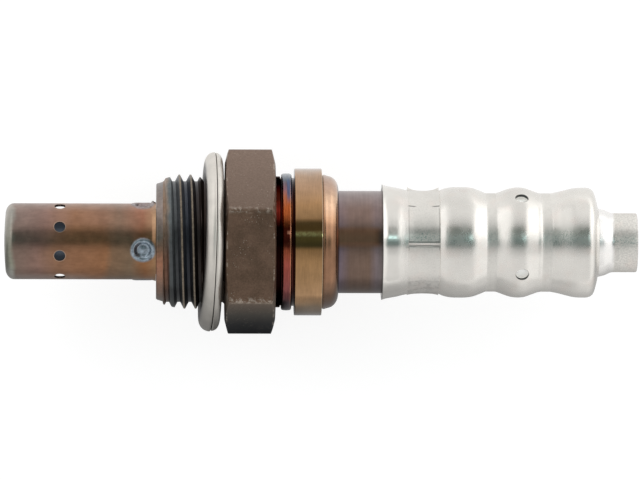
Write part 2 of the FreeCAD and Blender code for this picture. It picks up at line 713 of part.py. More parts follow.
# Outer sleeve of thin sheet: flared mouth, jaw crimp, three swells, two waists and the drawn tail
def make_sleeve():
    wall = SLEEVE_WALL
    crimp_edge = CRIMP_RADIUS + CRIMP_EDGE_RISE
    face_top = SWELL_RADIUS - CORNER_DROP
    swell_bore = SWELL_RADIUS - wall
    flare_x = (MOUTH_STATION + CRIMP_STATION) / 2
    flare_r = (MOUTH_RADIUS + crimp_edge) / 2 - MOUTH_SAG
    sleeve = turned(
        (MOUTH_STATION, MOUTH_RADIUS),
        (flare_x, flare_r, CRIMP_STATION, crimp_edge),
        (CRIMP_STATION, CRIMP_RIDGE_RADIUS),
        (CRIMP_END, CRIMP_RIDGE_RADIUS),
        (CRIMP_END, crimp_edge),
        *swell(
            CRIMP_END,
            crimp_edge,
            FIRST_SWELL_STATION,
            SWELL_RADIUS,
            FIRST_WAIST_STATION,
            WAIST_RADIUS,
        ),
        (FIRST_WAIST_END, WAIST_RADIUS),
        *swell(
            FIRST_WAIST_END,
            WAIST_RADIUS,
            SECOND_SWELL_STATION,
            SWELL_RADIUS,
            SECOND_WAIST_STATION,
            WAIST_RADIUS,
        ),
        (SECOND_WAIST_END, WAIST_RADIUS),
        arc_middle(THIRD_SWELL_STATION, SWELL_RADIUS, SECOND_WAIST_END, WAIST_RADIUS)
        + (THIRD_SWELL_STATION, SWELL_RADIUS),
        (CORNER_STATION, SWELL_RADIUS),
        arc_middle(CORNER_STATION, SWELL_RADIUS, CORNER_END, face_top) + (CORNER_END, face_top),
        (TAIL_ROOT, TAIL_ROOT_RADIUS),
        (TAIL_START, TAIL_RADIUS),
        (TAIL_END - TAIL_EDGE, TAIL_RADIUS),
        round_off(TAIL_END - TAIL_EDGE, TAIL_RADIUS, TAIL_END, TAIL_RADIUS - TAIL_EDGE),
        (TAIL_END, TAIL_RADIUS - wall),
        (TAIL_START, TAIL_RADIUS - wall),
        (TAIL_ROOT - wall, TAIL_ROOT_RADIUS - wall / 2),
        (CORNER_END - wall, face_top),
        arc_middle(CORNER_STATION, swell_bore, CORNER_END - wall, face_top)
        + (CORNER_STATION, swell_bore),
        (THIRD_SWELL_STATION, swell_bore),
        arc_middle(THIRD_SWELL_STATION, swell_bore, SECOND_WAIST_END, WAIST_BORE_RADIUS)
        + (SECOND_WAIST_END, WAIST_BORE_RADIUS),
        (SECOND_WAIST_STATION, WAIST_BORE_RADIUS),
        *swell(
            SECOND_WAIST_STATION,
            WAIST_BORE_RADIUS,
            SECOND_SWELL_STATION,
            swell_bore,
            FIRST_WAIST_END,
            WAIST_BORE_RADIUS,
        ),
        (FIRST_WAIST_STATION, WAIST_BORE_RADIUS),
        *swell(
            FIRST_WAIST_STATION,
            WAIST_BORE_RADIUS,
            FIRST_SWELL_STATION,
            swell_bore,
            CRIMP_END,
            CRIMP_BORE_RADIUS,
        ),
        (CRIMP_STATION, CRIMP_BORE_RADIUS),
        (flare_x, flare_r - wall, MOUTH_STATION, MOUTH_RADIUS - wall),
    )
    sleeve = sleeve.cut(ring_of(make_jaw(), JAW_COUNT, JAW_TURN))
    drill = radial_drill(VENT_RADIUS, VENT_STATION, SWELL_RADIUS * 2)
    return sleeve.cut(ring_of(drill, VENT_COUNT, VENT_TURN))


# Porous tube held by both waists, swollen between them
def make_filter():
    front = FIRST_WAIST_STATION - FILTER_OVERLAP
    back = SECOND_WAIST_END + FILTER_OVERLAP
    bulge = WAIST_BORE_RADIUS + FILTER_BULGE
    return turned(
        (front, WAIST_BORE_RADIUS),
        (FIRST_WAIST_END, WAIST_BORE_RADIUS),
        *ease(FIRST_WAIST_END, WAIST_BORE_RADIUS, SECOND_SWELL_STATION, bulge),
        *ease(SECOND_SWELL_STATION, bulge, SECOND_WAIST_STATION, WAIST_BORE_RADIUS),
        (back, WAIST_BORE_RADIUS),
        (back, CASING_BACK_RADIUS),
        (front, CASING_BACK_RADIUS),
    )


def make_block():
    front = BLOCK_FRONT_STATION
    back = front + BLOCK_LENGTH
    flange = BLOCK_FLANGE_STATION
    flange_back = flange + BLOCK_FLANGE_LENGTH
    cavity = front + BLOCK_CAVITY_DEPTH
    block = turned(
        (front, BLOCK_CAVITY_RADIUS),
        (front, BLOCK_FRONT_RADIUS - BLOCK_EDGE),
        (front + BLOCK_EDGE, BLOCK_FRONT_RADIUS),
        (flange, BLOCK_FRONT_RADIUS),
        (flange, BLOCK_FLANGE_RADIUS),
        (flange_back - BLOCK_EDGE, BLOCK_FLANGE_RADIUS),
        (flange_back, BLOCK_FLANGE_RADIUS - BLOCK_EDGE),
        (flange_back, BLOCK_BACK_RADIUS),
        (back - BLOCK_EDGE, BLOCK_BACK_RADIUS),
        (back, BLOCK_BACK_RADIUS - BLOCK_EDGE),
        (back, 0),
        (cavity, 0),
        (cavity, BLOCK_CAVITY_RADIUS),
    )
    return block.cut(ring_of(terminal_hole(), LEAD_COUNT, TERMINAL_TURN))


def terminal_hole():
    start = FreeCAD.Vector(BLOCK_FRONT_STATION + BLOCK_CAVITY_DEPTH, 0, TERMINAL_CIRCLE_RADIUS)
    return Part.makeCylinder(TERMINAL_HOLE_RADIUS, BLOCK_LENGTH, start, AXIS)


# Sheet clip with a folded front; its inner wall is slit into fingers that press on the block
def make_clip():
    front = CLIP_FRONT_STATION
    back = front + CLIP_LENGTH
    outer = CRIMP_BORE_RADIUS - CASING_WALL
    inner = BLOCK_FRONT_RADIUS
    clip = turned(
        (front, (outer + inner) / 2),
        round_on(front, (outer + inner) / 2, front + (outer - inner) / 2, outer),
        (back, outer),
        (back, outer - CLIP_WALL),
        (front + (outer - inner) / 2, outer - CLIP_WALL),
        (front + CLIP_WALL, (outer + inner) / 2, front + (outer - inner) / 2, inner + CLIP_WALL),
        (back, inner + CLIP_WALL),
        (back, inner),
        (front + (outer - inner) / 2, inner),
        round_off(front + (outer - inner) / 2, inner, front, (outer + inner) / 2),
    )
    slot = Part.makeBox(
        CLIP_LENGTH,
        CLIP_SLOT_WIDTH,
        (outer + inner) / 2,
        FreeCAD.Vector(front + CLIP_BAND, -CLIP_SLOT_WIDTH / 2, 0),
    )
    return clip.cut(ring_of(slot, CLIP_SLOT_COUNT, 0))


# Bent strip: a line of (station, radius) points thickened and given its width
def strip(points, thickness):
    half = thickness / 2
    sides = ([], [])
    for i, (x, r) in enumerate(points):
        nearby = points[max(i - 1, 0) : i + 2]
        bisector = [0.0, 0.0]
        for (xa, ra), (xb, rb) in zip(nearby, nearby[1:]):
            run = math.hypot(xb - xa, rb - ra)
            bisector[0] -= (rb - ra) / run
            bisector[1] += (xb - xa) / run
        size = math.hypot(*bisector)
        reach = half * (2 if 0 < i < len(points) - 1 else 1) / (size * size)
        sides[0].append((x + bisector[0] * reach, r + bisector[1] * reach))
        sides[1].append((x - bisector[0] * reach, r - bisector[1] * reach))
    outline = sides[0] + sides[1][::-1]
    face = section(outline[0], *outline[1:])
    face.translate(FreeCAD.Vector(0, -STRIP_WIDTH / 2, 0))
    return face.extrude(FreeCAD.Vector(0, STRIP_WIDTH, 0))


# Barrel that takes one lead, inside its hole in the block
def make_barrel():
    start = FreeCAD.Vector(BARREL_STATION, 0, TERMINAL_CIRCLE_RADIUS)
    outer = Part.makeCylinder(BARREL_RADIUS, BARREL_LENGTH, start, AXIS)
    inner = Part.makeCylinder(BARREL_BORE_RADIUS, BARREL_LENGTH, start, AXIS)
    return outer.cut(inner)


# Point where a strip joins the wall of its barrel
def barrel_foot():
    wall_middle = (BARREL_RADIUS + BARREL_BORE_RADIUS) / 2
    return (BARREL_STATION + STRIP_WIDTH / 2, TERMINAL_CIRCLE_RADIUS - wall_middle)


def cavity_foot():
    x, r = barrel_foot()
    return (BLOCK_FRONT_STATION + BLOCK_CAVITY_DEPTH - STRIP_WIDTH / 2, r)


def make_heater_terminal(turn):
    touch = HEATER_RADIUS + STRIP_THICKNESS / 2 + CONTACT_GAP
    middle = BLOCK_FRONT_STATION + BLOCK_CAVITY_DEPTH / 2
    spring = strip(
        [
            (BLOCK_FRONT_STATION - STRIP_WIDTH / 2, touch + STRIP_THICKNESS * 2),
            (middle - STRIP_WIDTH / 2, touch),
            (middle, touch),
            cavity_foot(),
            barrel_foot(),
        ],
        STRIP_THICKNESS,
    )
    return swung(spring.fuse(make_barrel()), turn)


# Split collar that clips round the element's rear end
def make_collar_terminal(turn):
    inner = ELEMENT_REAR_RADIUS
    outer = inner + STRIP_THICKNESS
    back = ELEMENT_END_STATION + STRIP_WIDTH / 2
    collar = pipe(outer, inner, back - COLLAR_CLIP_LENGTH, back)
    opening = Part.makeBox(
        COLLAR_CLIP_LENGTH,
        COLLAR_CLIP_GAP,
        outer * 2,
        FreeCAD.Vector(back - COLLAR_CLIP_LENGTH, -COLLAR_CLIP_GAP / 2, -outer * 2),
    )
    seat = inner + STRIP_THICKNESS / 2
    x, r = barrel_foot()
    tongue = strip(
        [
            (ELEMENT_END_STATION + CONTACT_GAP, seat),
            (back, seat),
            (back + abs(seat - r), r),
            (x, r),
        ],
        STRIP_THICKNESS,
    )
    return swung(collar.cut(opening).fuse([tongue, make_barrel()]), turn)


# Split tube that sits in the element's bore and holds the heater
def make_plug_terminal(turn):
    outer = ELEMENT_BORE_RADIUS - CONTACT_GAP
    inner = outer - PLUG_CLIP_WALL
    back = ELEMENT_END_STATION + STRIP_WIDTH / 2
    tube = pipe(outer, inner, back - PLUG_CLIP_LENGTH, back)
    slit = Part.makeBox(
        PLUG_CLIP_LENGTH,
        PLUG_CLIP_WALL * 2,
        outer * 2,
        FreeCAD.Vector(back - PLUG_CLIP_LENGTH, -PLUG_CLIP_WALL, -outer * 2),
    )
    x, r = barrel_foot()
    seat = outer - PLUG_CLIP_WALL / 2
    tongue = strip(
        [
            (ELEMENT_END_STATION + CONTACT_GAP, seat),
            (back, seat),
            (back + abs(seat - r), r),
            (x, r),
        ],
        PLUG_CLIP_WALL,
    )
    tongue = tongue.cut(rod(inner, 0, back + STRIP_WIDTH))
    return swung(tube.cut(slit).fuse([tongue, make_barrel()]), turn)


# Rubber plug with one hole for each lead, gripped by the second waist
def make_grommet():
    front = GROMMET_FRONT_STATION
    bore = CASING_BACK_BORE
    back = TAIL_START - GROMMET_NECK_GAP
    flange_end = CORNER_STATION
    shoulder = CORNER_END - SLEEVE_WALL * 2
    grommet = turned(
        (front, 0),
        (front, bore - GROMMET_EDGE),
        (front + GROMMET_EDGE, bore),
        (CASING_END_STATION, bore),
        (CASING_END_STATION, GROMMET_FLANGE_RADIUS),
        (flange_end - GROMMET_ROUND, GROMMET_FLANGE_RADIUS),
        (shoulder, GROMMET_FLANGE_RADIUS - GROMMET_ROUND),
        (shoulder, TAIL_RADIUS),
        (TAIL_ROOT, GROMMET_NECK_RADIUS),
        (back - GROMMET_EDGE, GROMMET_NECK_RADIUS),
        (back, GROMMET_NECK_RADIUS - GROMMET_EDGE),
        (back, 0),
    )
    start = FreeCAD.Vector(front, 0, LEAD_CIRCLE_RADIUS)
    hole = Part.makeCylinder(LEAD_HOLE_RADIUS, back - front, start, AXIS)
    return grommet.cut(ring_of(hole, LEAD_COUNT, TERMINAL_TURN))


def build():
    heater_turn = TERMINAL_TURN
    collar_turn = TERMINAL_TURN + 90
    plug_turn = TERMINAL_TURN - 90
    return {
        "outer_protector": make_outer_tube(),
        "inner_protector": make_inner_tube(),
        "metal_shell": make_shell(),
        "seat_gasket": make_gasket(),
        "sensing_element": make_element(),
        "heater_rod": make_heater(),
        "front_packing": make_front_packing(),
        "support_ring": make_support_ring(),
        "element_cushion": make_element_cushion(),
        "talc_filler": make_talc(),
        "insulating_bush": make_bush(),
        "squeeze_ring": make_squeeze_ring(),
        "inner_casing": make_casing(),
        "outer_sleeve": make_sleeve(),
        "vent_filter": make_filter(),
        "terminal_block": make_block(),
        "block_clip": make_clip(),
        "heater_terminal_a": make_heater_terminal(heater_turn),
        "heater_terminal_b": make_heater_terminal(heater_turn + 180),
        "collar_terminal": make_collar_terminal(collar_turn),
        "plug_terminal": make_plug_terminal(plug_turn),
        "lead_grommet": make_grommet(),
    }


os.makedirs("parts", exist_ok=True)
for name, shape in build().items():
    solids = shape.Solids
    print(name, "solids", len(solids), "valid", shape.isValid(), "volume", round(shape.Volume, 2))
    solids[0].exportStep("parts/" + name + ".step")
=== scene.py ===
import math
import bmesh
import bpy
import numpy as np
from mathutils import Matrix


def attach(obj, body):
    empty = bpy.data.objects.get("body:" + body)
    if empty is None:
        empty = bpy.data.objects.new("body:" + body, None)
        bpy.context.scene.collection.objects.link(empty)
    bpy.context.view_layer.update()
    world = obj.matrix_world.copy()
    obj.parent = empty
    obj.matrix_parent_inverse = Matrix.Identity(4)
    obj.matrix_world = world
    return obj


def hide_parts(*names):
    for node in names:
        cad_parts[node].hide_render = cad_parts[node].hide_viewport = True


bl_info = {
    "name": "Oxygen Sensor",
    "version": (1, 0, 0),
    "blender": (4, 5, 0),
    "location": "3D View > Sidebar > Oxygen Sensor",
    "description": "Dresses the packed solids of a screw-in oxygen sensor",
    "category": "Add Mesh",
}

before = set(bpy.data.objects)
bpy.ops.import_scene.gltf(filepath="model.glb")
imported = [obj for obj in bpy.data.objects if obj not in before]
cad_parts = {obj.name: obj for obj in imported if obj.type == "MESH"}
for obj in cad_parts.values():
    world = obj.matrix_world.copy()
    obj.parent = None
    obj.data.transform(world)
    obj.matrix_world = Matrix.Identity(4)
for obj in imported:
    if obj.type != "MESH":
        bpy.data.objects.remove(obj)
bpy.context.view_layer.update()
MM = 0.001
FULL_TURN = 2 * math.pi
WHITE = (255, 255, 255)
WELD_DISTANCE = 0.5e-6
SLIVER_LENGTH = 0.2e-6


# Small helpers
def linear(*rgb):
    """Colour from 0..255 screen values to the linear values that shaders use"""
    shares = [v / 255 for v in rgb]
    return [v / 12.92 if v <= 0.04045 else ((v + 0.055) / 1.055) ** 2.4 for v in shares]


def shader_colour(colour):
    """Linear values of a colour; a tuple holds screen values, anything else is linear already"""
    return linear(*colour) if isinstance(colour, tuple) else colour


def length(name, millimetres, text):
    return bpy.props.FloatProperty(
        name=name, description=text, default=millimetres * MM, unit="LENGTH", precision=5
    )


def angle(name, degrees, text):
    return bpy.props.FloatProperty(
        name=name, description=text, default=math.radians(degrees), subtype="ANGLE", unit="ROTATION"
    )


def number(name, value, text):
    return bpy.props.IntProperty(name=name, description=text, default=value, min=1)


def tint(name, rgb, text):
    return bpy.props.FloatVectorProperty(
        name=name, description=text, default=linear(*rgb), subtype="COLOR", size=3, min=0, max=1
    )


def share(name, value, text):
    return bpy.props.FloatProperty(
        name=name, description=text, default=value, min=0, max=1, subtype="FACTOR"
    )


def operation(name, swapped=False):
    """Method of Value that adds one math node"""

    def apply(self, other=0.0):
        values = (other, self) if swapped else (self, other)
        return self.board.math(name, *values)

    return apply


class Value:
    """Output of a node; arithmetic on it adds more nodes"""

    __add__ = __radd__ = operation("ADD")
    __sub__ = operation("SUBTRACT")
    __rsub__ = operation("SUBTRACT", swapped=True)
    __mul__ = operation("MULTIPLY")
    __truediv__ = operation("DIVIDE")
    __rtruediv__ = operation("DIVIDE", swapped=True)
    __abs__ = operation("ABSOLUTE")
    fract = operation("FRACT")
    max = operation("MAXIMUM")
    min = operation("MINIMUM")
    below = operation("LESS_THAN")
    above = operation("GREATER_THAN")

    def __init__(self, board, socket):
        self.board, self.socket = board, socket

    def rise(self, low, high, start=0, end=1, kind="SMOOTHSTEP"):
        """Goes from start to end while this value goes from low to high"""
        inputs = {0: self, 1: low, 2: high, 3: start, 4: end}
        return self.board.add("ShaderNodeMapRange", inputs, interpolation_type=kind)

    def window(self, low, high, edge):
        """One between low and high, and nothing beyond them"""
        return self.rise(low - edge, low + edge) * self.rise(high - edge, high + edge, 1, 0)


class Board:
    """Short calls for building one node tree"""

    def __init__(self, tree):
        self.tree = tree
        tree.nodes.clear()

    def node(self, kind, inputs=None, **settings):
        node = self.tree.nodes.new(kind)
        for key, value in settings.items():
            setattr(node, key, value)
        for key, value in (inputs or {}).items():
            self.feed(node.inputs[key], value)
        return node

    def add(self, kind, inputs=None, output=0, **settings):
        return Value(self, self.node(kind, inputs, **settings).outputs[output])

    def outputs(self, kind, inputs=None):
        return {socket.name: Value(self, socket) for socket in self.node(kind, inputs).outputs}

    def feed(self, socket, value):
        if isinstance(value, Value):
            self.tree.links.new(value.socket, socket)
        elif socket.type == "RGBA":
            socket.default_value = (*shader_colour(value), 1)
        else:
            socket.default_value = value

    def math(self, name, *values):
        return self.add("ShaderNodeMath", dict(enumerate(values)), operation=name)

    def far(self, first, second):
        """Distance from the origin of two coordinates"""
        return self.math("SQRT", first * first + second * second)

    def split(self, vector):
        return list(self.outputs("ShaderNodeSeparateXYZ", {0: vector}).values())

    def join(self, x, y, z):
        return self.add("ShaderNodeCombineXYZ", {0: x, 1: y, 2: z})


class Finish(Board):
    """One surface finish; patterns read Object coordinates in millimetres"""

    def __init__(self, name):
        self.material = bpy.data.materials.new(name)
        self.material.use_nodes = True
        super().__init__(self.material.node_tree)
        self.shader = self.node("ShaderNodeBsdfPrincipled")
        self.node("ShaderNodeOutputMaterial", {0: Value(self, self.shader.outputs[0])})
        source = self.add("ShaderNodeTexCoord", output="Object")
        self.place = self.add("ShaderNodeMapping", {"Vector": source, "Scale": [1 / MM] * 3})
        self.x, self.y, self.z = self.split(self.place)
        self.turn = self.math("DEGREES", self.math("ARCTAN2", self.y, self.z))
        self.radius = self.far(self.y, self.z)

    def from_holes(self, count, shift, station, radius):
        """Distance from the middle of the nearest hole of a ring round the axis"""
        beside = (self.turn / (360 / count) + shift).fract() - 0.5
        return self.far(self.x - station / MM, beside * radius * (FULL_TURN / count))

    def stretched(self, x, y, z):
        return self.add("ShaderNodeMapping", {"Vector": self.place, "Scale": (x, y, z)})

    def noise(self, size, detail=3, rough=0.5, where=None):
        inputs = {"Vector": where or self.place, "Scale": 1 / size, "Detail": detail, "Roughness": rough}
        return self.add("ShaderNodeTexNoise", inputs, "Fac")

    def cells(self, size):
        return self.add("ShaderNodeTexVoronoi", {"Vector": self.place, "Scale": 1 / size}, "Distance")

    def ramp(self, value, stops):
        low, high = stops[0][0], stops[-1][0]
        node = self.node("ShaderNodeValToRGB", {0: value.rise(low, high, kind="LINEAR")})
        elements = node.color_ramp.elements
        while len(elements) < len(stops):
            elements.new(0.5)
        for element, (at, colour) in zip(elements, stops):
            element.position = (at - low) / (high - low)
            element.color = (*shader_colour(colour), 1)
        return Value(self, node.outputs[0])

    def mix(self, part, first, second, blend="MIX"):
        inputs = {"Factor": part, 6: first, 7: second}
        return self.add("ShaderNodeMix", inputs, 2, data_type="RGBA", blend_type=blend)

    def dim(self, colour, amount):
        """Multiplies a colour by a number"""
        return self.mix(1, colour, self.join(amount, amount, amount), "MULTIPLY")

    def blotched(self, colour, size, depth, where=None):
        return self.dim(colour, self.noise(size, 3, 0.6, where).rise(0.3, 0.7, 1 - depth, 1 + depth))

    def paint(self, part, colour):
        """Lays a colour over the base where part is above zero"""
        self.base = self.mix(part, self.base, colour)

    def scale(self, amount):
        self.base = self.dim(self.base, amount)

    def darken(self, part):
        self.scale(1 - part)

    def blotch(self, size, depth, where=None):
        self.base = self.blotched(self.base, size, depth, where)

    def bump(self, height, depth_mm):
        inputs = {"Height": height, "Distance": depth_mm * MM, "Strength": 1}
        self.feed(self.shader.inputs["Normal"], self.add("ShaderNodeBump", inputs))

    def set(self, **values):
        for key, value in {"Base_Color": self.base, **values}.items():
            self.feed(self.shader.inputs[key.replace("_", " ")], value)
        return self.material


# Meshes
def added(name, data):
    """New object in the scene"""
    thing = bpy.data.objects.new(name, data)
    bpy.context.scene.collection.objects.link(thing)
    return thing


def arc(x0, r0, x1, r1, along_first=True, steps=7):
    """Quarter-ellipse points after the first end, up to and with the second"""
    points = []
    for i in range(1, steps + 1):
        a = math.pi / 2 * i / steps
        s, c = (math.sin(a), 1 - math.cos(a)) if along_first else (1 - math.cos(a), math.sin(a))
        points.append((x0 + (x1 - x0) * s, r0 + (r1 - r0) * c))
    return points


def flowing(points, step):
    """Smooth line through the points, even in X, with slopes that never overshoot"""
    xs = np.array([p[0] for p in points])
    rs = np.array([p[1] for p in points])
    gaps = np.diff(xs)
    slopes = np.diff(rs) / gaps
    ends = np.concatenate(([slopes[0]], slopes, [slopes[-1]]))
    tangents = np.where(ends[:-1] * ends[1:] > 0, (ends[:-1] + ends[1:]) / 2, 0.0)
    tangents[0], tangents[-1] = slopes[0], slopes[-1]
    limit = 3 * np.minimum(np.abs(ends[:-1]), np.abs(ends[1:]))
    tangents = np.clip(tangents, -limit, limit)
    line = []
    for i, gap in enumerate(gaps):
        count = max(1, int(round(gap / step)))
        for k in range(count):
            t = k / count
            a = (1 + 2 * t) * (1 - t) ** 2 * rs[i] + t * (1 - t) ** 2 * gap * tangents[i]
            b = t * t * (3 - 2 * t) * rs[i + 1] + t * t * (t - 1) * gap * tangents[i + 1]
            line.append((xs[i] + t * gap, a + b))
    return line + [points[-1]]


def soften(points, reach, sharpest=25.0):
    """Rounds the corners of a closed outline and keeps a line beside each round"""
    result = []
    count = len(points)
    for i, here in enumerate(points):
        before, after = points[i - 1], points[(i + 1) % count]
        back = (before[0] - here[0], before[1] - here[1])
        ahead = (after[0] - here[0], after[1] - here[1])
        lb, la = math.hypot(*back), math.hypot(*ahead)
        cosine = (back[0] * ahead[0] + back[1] * ahead[1]) / (lb * la)
        if 180 - math.degrees(math.acos(max(-1, min(1, cosine)))) < sharpest:
            result.append(here)
            continue
        db, da = min(reach, 0.3 * lb), min(reach, 0.3 * la)
        start = (here[0] + back[0] / lb * db, here[1] + back[1] / lb * db)
        end = (here[0] + ahead[0] / la * da, here[1] + ahead[1] / la * da)
        result.append((here[0] + back[0] / lb * db * 1.6, here[1] + back[1] / lb * db * 1.6))
        for t in (0.0, 1 / 3, 2 / 3, 1.0):
            a, b, c = (1 - t) ** 2, 2 * t * (1 - t), t * t
            result.append(
                (a * start[0] + b * here[0] + c * end[0], a * start[1] + b * here[1] + c * end[1])
            )
        result.append((here[0] + ahead[0] / la * da * 1.6, here[1] + ahead[1] / la * da * 1.6))
    return result


def shaded(mesh, crease_degrees=35.0):
    grid = bmesh.new()
    grid.from_mesh(mesh)
    bmesh.ops.remove_doubles(grid, verts=grid.verts, dist=WELD_DISTANCE)
    bmesh.ops.dissolve_degenerate(grid, edges=grid.edges, dist=SLIVER_LENGTH)
    bmesh.ops.recalc_face_normals(grid, faces=grid.faces)
    grid.to_mesh(mesh)
    grid.free()
    mesh.shade_smooth()
    mesh.set_sharp_from_angle(angle=math.radians(crease_degrees))
    mesh.update()


def wheel(name, outline, turns, warp=None, seated=None):
    """Closed ring swept round the X axis from a closed outline in millimetres"""
    xs = np.repeat(np.array([p[0] for p in outline])[:, None], len(turns), 1)
    rs = np.repeat(np.array([p[1] for p in outline])[:, None], len(turns), 1)
    around = np.repeat(np.array(turns)[None, :], len(outline), 0)
    if warp:
        xs, rs = warp(xs, rs, around)
    points = np.stack([xs, rs * np.sin(around), rs * np.cos(around)], -1).reshape(-1, 3)
    if seated is not None:
        points = seated(points)
    rows, columns = xs.shape
    i, j = np.meshgrid(np.arange(rows), np.arange(columns), indexing="ij")
    ni, nj = (i + 1) % rows, (j + 1) % columns
    faces = np.stack([i * columns + j, ni * columns + j, ni * columns + nj, i * columns + nj], -1)
    mesh = bpy.data.meshes.new(name)
    mesh.from_pydata((points * MM).tolist(), [], faces.reshape(-1, 4).tolist())
    return added(name, mesh)


def even_turns(count):
    return [FULL_TURN * i / count for i in range(count)]


def place_piece(piece, node, crease_degrees=35.0, stands_for=True):
    """Shades a finished mesh and hangs it on the frame in place of its node"""
    shaded(piece.data, crease_degrees)
    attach(piece, "root")
    if stands_for:
        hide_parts(node)


# Geometry node trees
def new_tree(name, sockets):
    tree = bpy.data.node_groups.new(name, "GeometryNodeTree")
    tree.interface.new_socket("Geometry", in_out="OUTPUT", socket_type="NodeSocketGeometry")
    for label, kind, value in sockets:
        socket = tree.interface.new_socket(label, in_out="INPUT", socket_type="NodeSocket" + kind)
        if value is not None:
            socket.default_value = value
    board = Board(tree)
    return board, board.outputs("NodeGroupInput")


def end_tree(board, geometry, material):
    real = board.add("GeometryNodeRealizeInstances", {"Geometry": geometry})
    done = board.add("GeometryNodeSetMaterial", {"Geometry": real, "Material": material})
    board.node("NodeGroupOutput", {0: done})
    return board.tree


def thread_tree():
    """Screw thread as one closed ring: the grid's rows follow the helix"""
    board, given = new_tree(
        "screw_thread",
        [
            ("Front", "Float", -8.3), ("Back", "Float", -2.8), ("Start", "Float", -9.87),
            ("Pitch", "Float", 1.5), ("Root Radius", "Float", 8.1), ("Crest Radius", "Float", 9.0),
            ("Bore Radius", "Float", 7.8), ("Lead Radius", "Float", 8.42), ("Lead Slope", "Float", 0.27),
            ("Segments", "Int", 192), ("Rows", "Int", 83), ("Rows Per Pitch", "Float", 16.0),
            ("Unit", "Float", MM), ("Material", "Material", None),
        ],
    )
    columns = given["Segments"] + 1
    inputs = {"Size X": 1.0, "Size Y": 1.0, "Vertices X": columns, "Vertices Y": given["Rows"]}
    grid = board.add("GeometryNodeMeshGrid", inputs, "Mesh")
    across, along, _ = board.split(board.add("GeometryNodeInputPosition"))
    around = across + 0.5
    last = given["Rows"] - 1
    row = board.math("ROUND", (along + 0.5) * last)
    count = (row - 2) / given["Rows Per Pitch"]
    free = given["Start"] + given["Pitch"] * (count + around)
    station = free.min(given["Back"]).max(given["Front"])
    phase = (count + 8.0).fract()
    from_crest = abs(phase - 0.5)
    height = from_crest.rise(3 / 8, 1 / 16, kind="LINEAR")
    depth = given["Crest Radius"] - given["Root Radius"]
    profile = height * depth + given["Root Radius"]
    from_front = station - given["Front"]
    from_back = given["Back"] - station
    lead = from_front * given["Lead Slope"] + given["Lead Radius"]
    entry = from_front * 6.0 + given["Root Radius"]
    leave = from_back * 1.2 + given["Root Radius"]
    capped = lead.min(entry).min(leave)
    outside = profile.min(capped)
    at_front = row.below(1.5)
    at_back = row.above(last - 0.5)
    first_row = row.below(0.5)
    inner = at_front.max(at_back)
    radius = outside * (1 - inner) + given["Bore Radius"] * inner
    to_back = first_row.max(at_back)
    x = station * (1 - inner) + given["Back"] * to_back + given["Front"] * (inner - to_back)
    bearing = around * -FULL_TURN + math.pi / 2
    y = radius * board.math("SINE", bearing)
    z = radius * board.math("COSINE", bearing)
    unit = given["Unit"]
    where = board.join(x * unit, y * unit, z * unit)
    moved = board.add("GeometryNodeSetPosition", {"Geometry": grid, "Position": where})
    merged = board.add("GeometryNodeMergeByDistance", {"Geometry": moved, "Distance": WELD_DISTANCE})
    return end_tree(board, merged, given["Material"])


def hole_tree():
    """Round holes drilled in a row round the X axis"""
    board, given = new_tree(
        "radial_holes",
        [
            ("Geometry", "Geometry", None), ("Count", "Int", 8), ("Station", "Float", 0.0),
            ("Radius", "Float", 0.0007), ("First Turn", "Float", 0.0), ("Inner Reach", "Float", 0.003),
            ("Outer Reach", "Float", 0.009), ("Material", "Material", None),
        ],
    )
    depth = given["Outer Reach"] - given["Inner Reach"]
    inputs = {"Vertices": 40, "Radius": given["Radius"], "Depth": depth}
    drill = board.add("GeometryNodeMeshCylinder", inputs, "Mesh")
    middle = board.join(0, 0, (given["Outer Reach"] + given["Inner Reach"]) / 2)
    lifted = board.add("GeometryNodeTransform", {"Geometry": drill, "Translation": middle})
    line = board.add("GeometryNodeMeshLine", {"Count": given["Count"]})
    station = board.join(given["Station"], 0, 0)
    home = board.add("GeometryNodeSetPosition", {"Geometry": line, "Position": station})
    index = board.add("GeometryNodeInputIndex")
    turn = index * (FULL_TURN / given["Count"]) + given["First Turn"]
    inputs = {"Points": home, "Instance": lifted, "Rotation": board.join(turn * -1, 0, 0)}
    placed = board.add("GeometryNodeInstanceOnPoints", inputs)
    drills = board.add("GeometryNodeRealizeInstances", {"Geometry": placed})
    inputs = {0: given["Geometry"], 1: drills}
    cut = board.add("GeometryNodeMeshBoolean", inputs, operation="DIFFERENCE", solver="EXACT")
    return end_tree(board, cut, given["Material"])


def grown(piece, tree, **values):
    """Runs a node tree on a piece and keeps the result as its plain mesh"""
    modifier = piece.modifiers.new(tree.name, "NODES")
    modifier.node_group = tree
    for item in tree.interface.items_tree:
        key = item.name.replace(" ", "_")
        if item.in_out == "INPUT" and key in values:
            modifier[item.identifier] = values[key]
    graph = bpy.context.evaluated_depsgraph_get()
    graph.update()
    result = bpy.data.meshes.new_from_object(piece.evaluated_get(graph))
    piece.modifiers.clear()
    piece.data = result
    return piece


# Settings
class ProtectorSettings(bpy.types.PropertyGroup):
    radius: length("Radius", 5.1, "Outside radius of the tube")
    wall: length("Wall", 0.3, "Sheet thickness of the tube")
    tip: length("Tip", -29.54, "Station of the front end")
    end: length("End", -9.2, "Station where the tube meets the nose")
    hole_radius: length("Hole radius", 0.75, "Radius of one gas hole")
    hole_station: length("Hole station", -22.07, "Station of the ring of gas holes")
    hole_count: number("Holes", 8, "Gas holes in the ring")
    stake_station: length("Stake station", -10.95, "Station of the stakes")
    stake_turn: angle("Stake turn", -13.5, "Turn of the first stake")
    cool: tint("Cool tint", (138, 110, 99), "Purple brown near the tip")
    warm: tint("Warm tint", (145, 106, 80), "Orange tan in the middle")
    tip_tint: tint("Tip tint", (137, 137, 124), "Grey of the rounded tip")
    weld_tint: tint("Stake tint", (142, 154, 164), "Pale blue grey of the stakes")


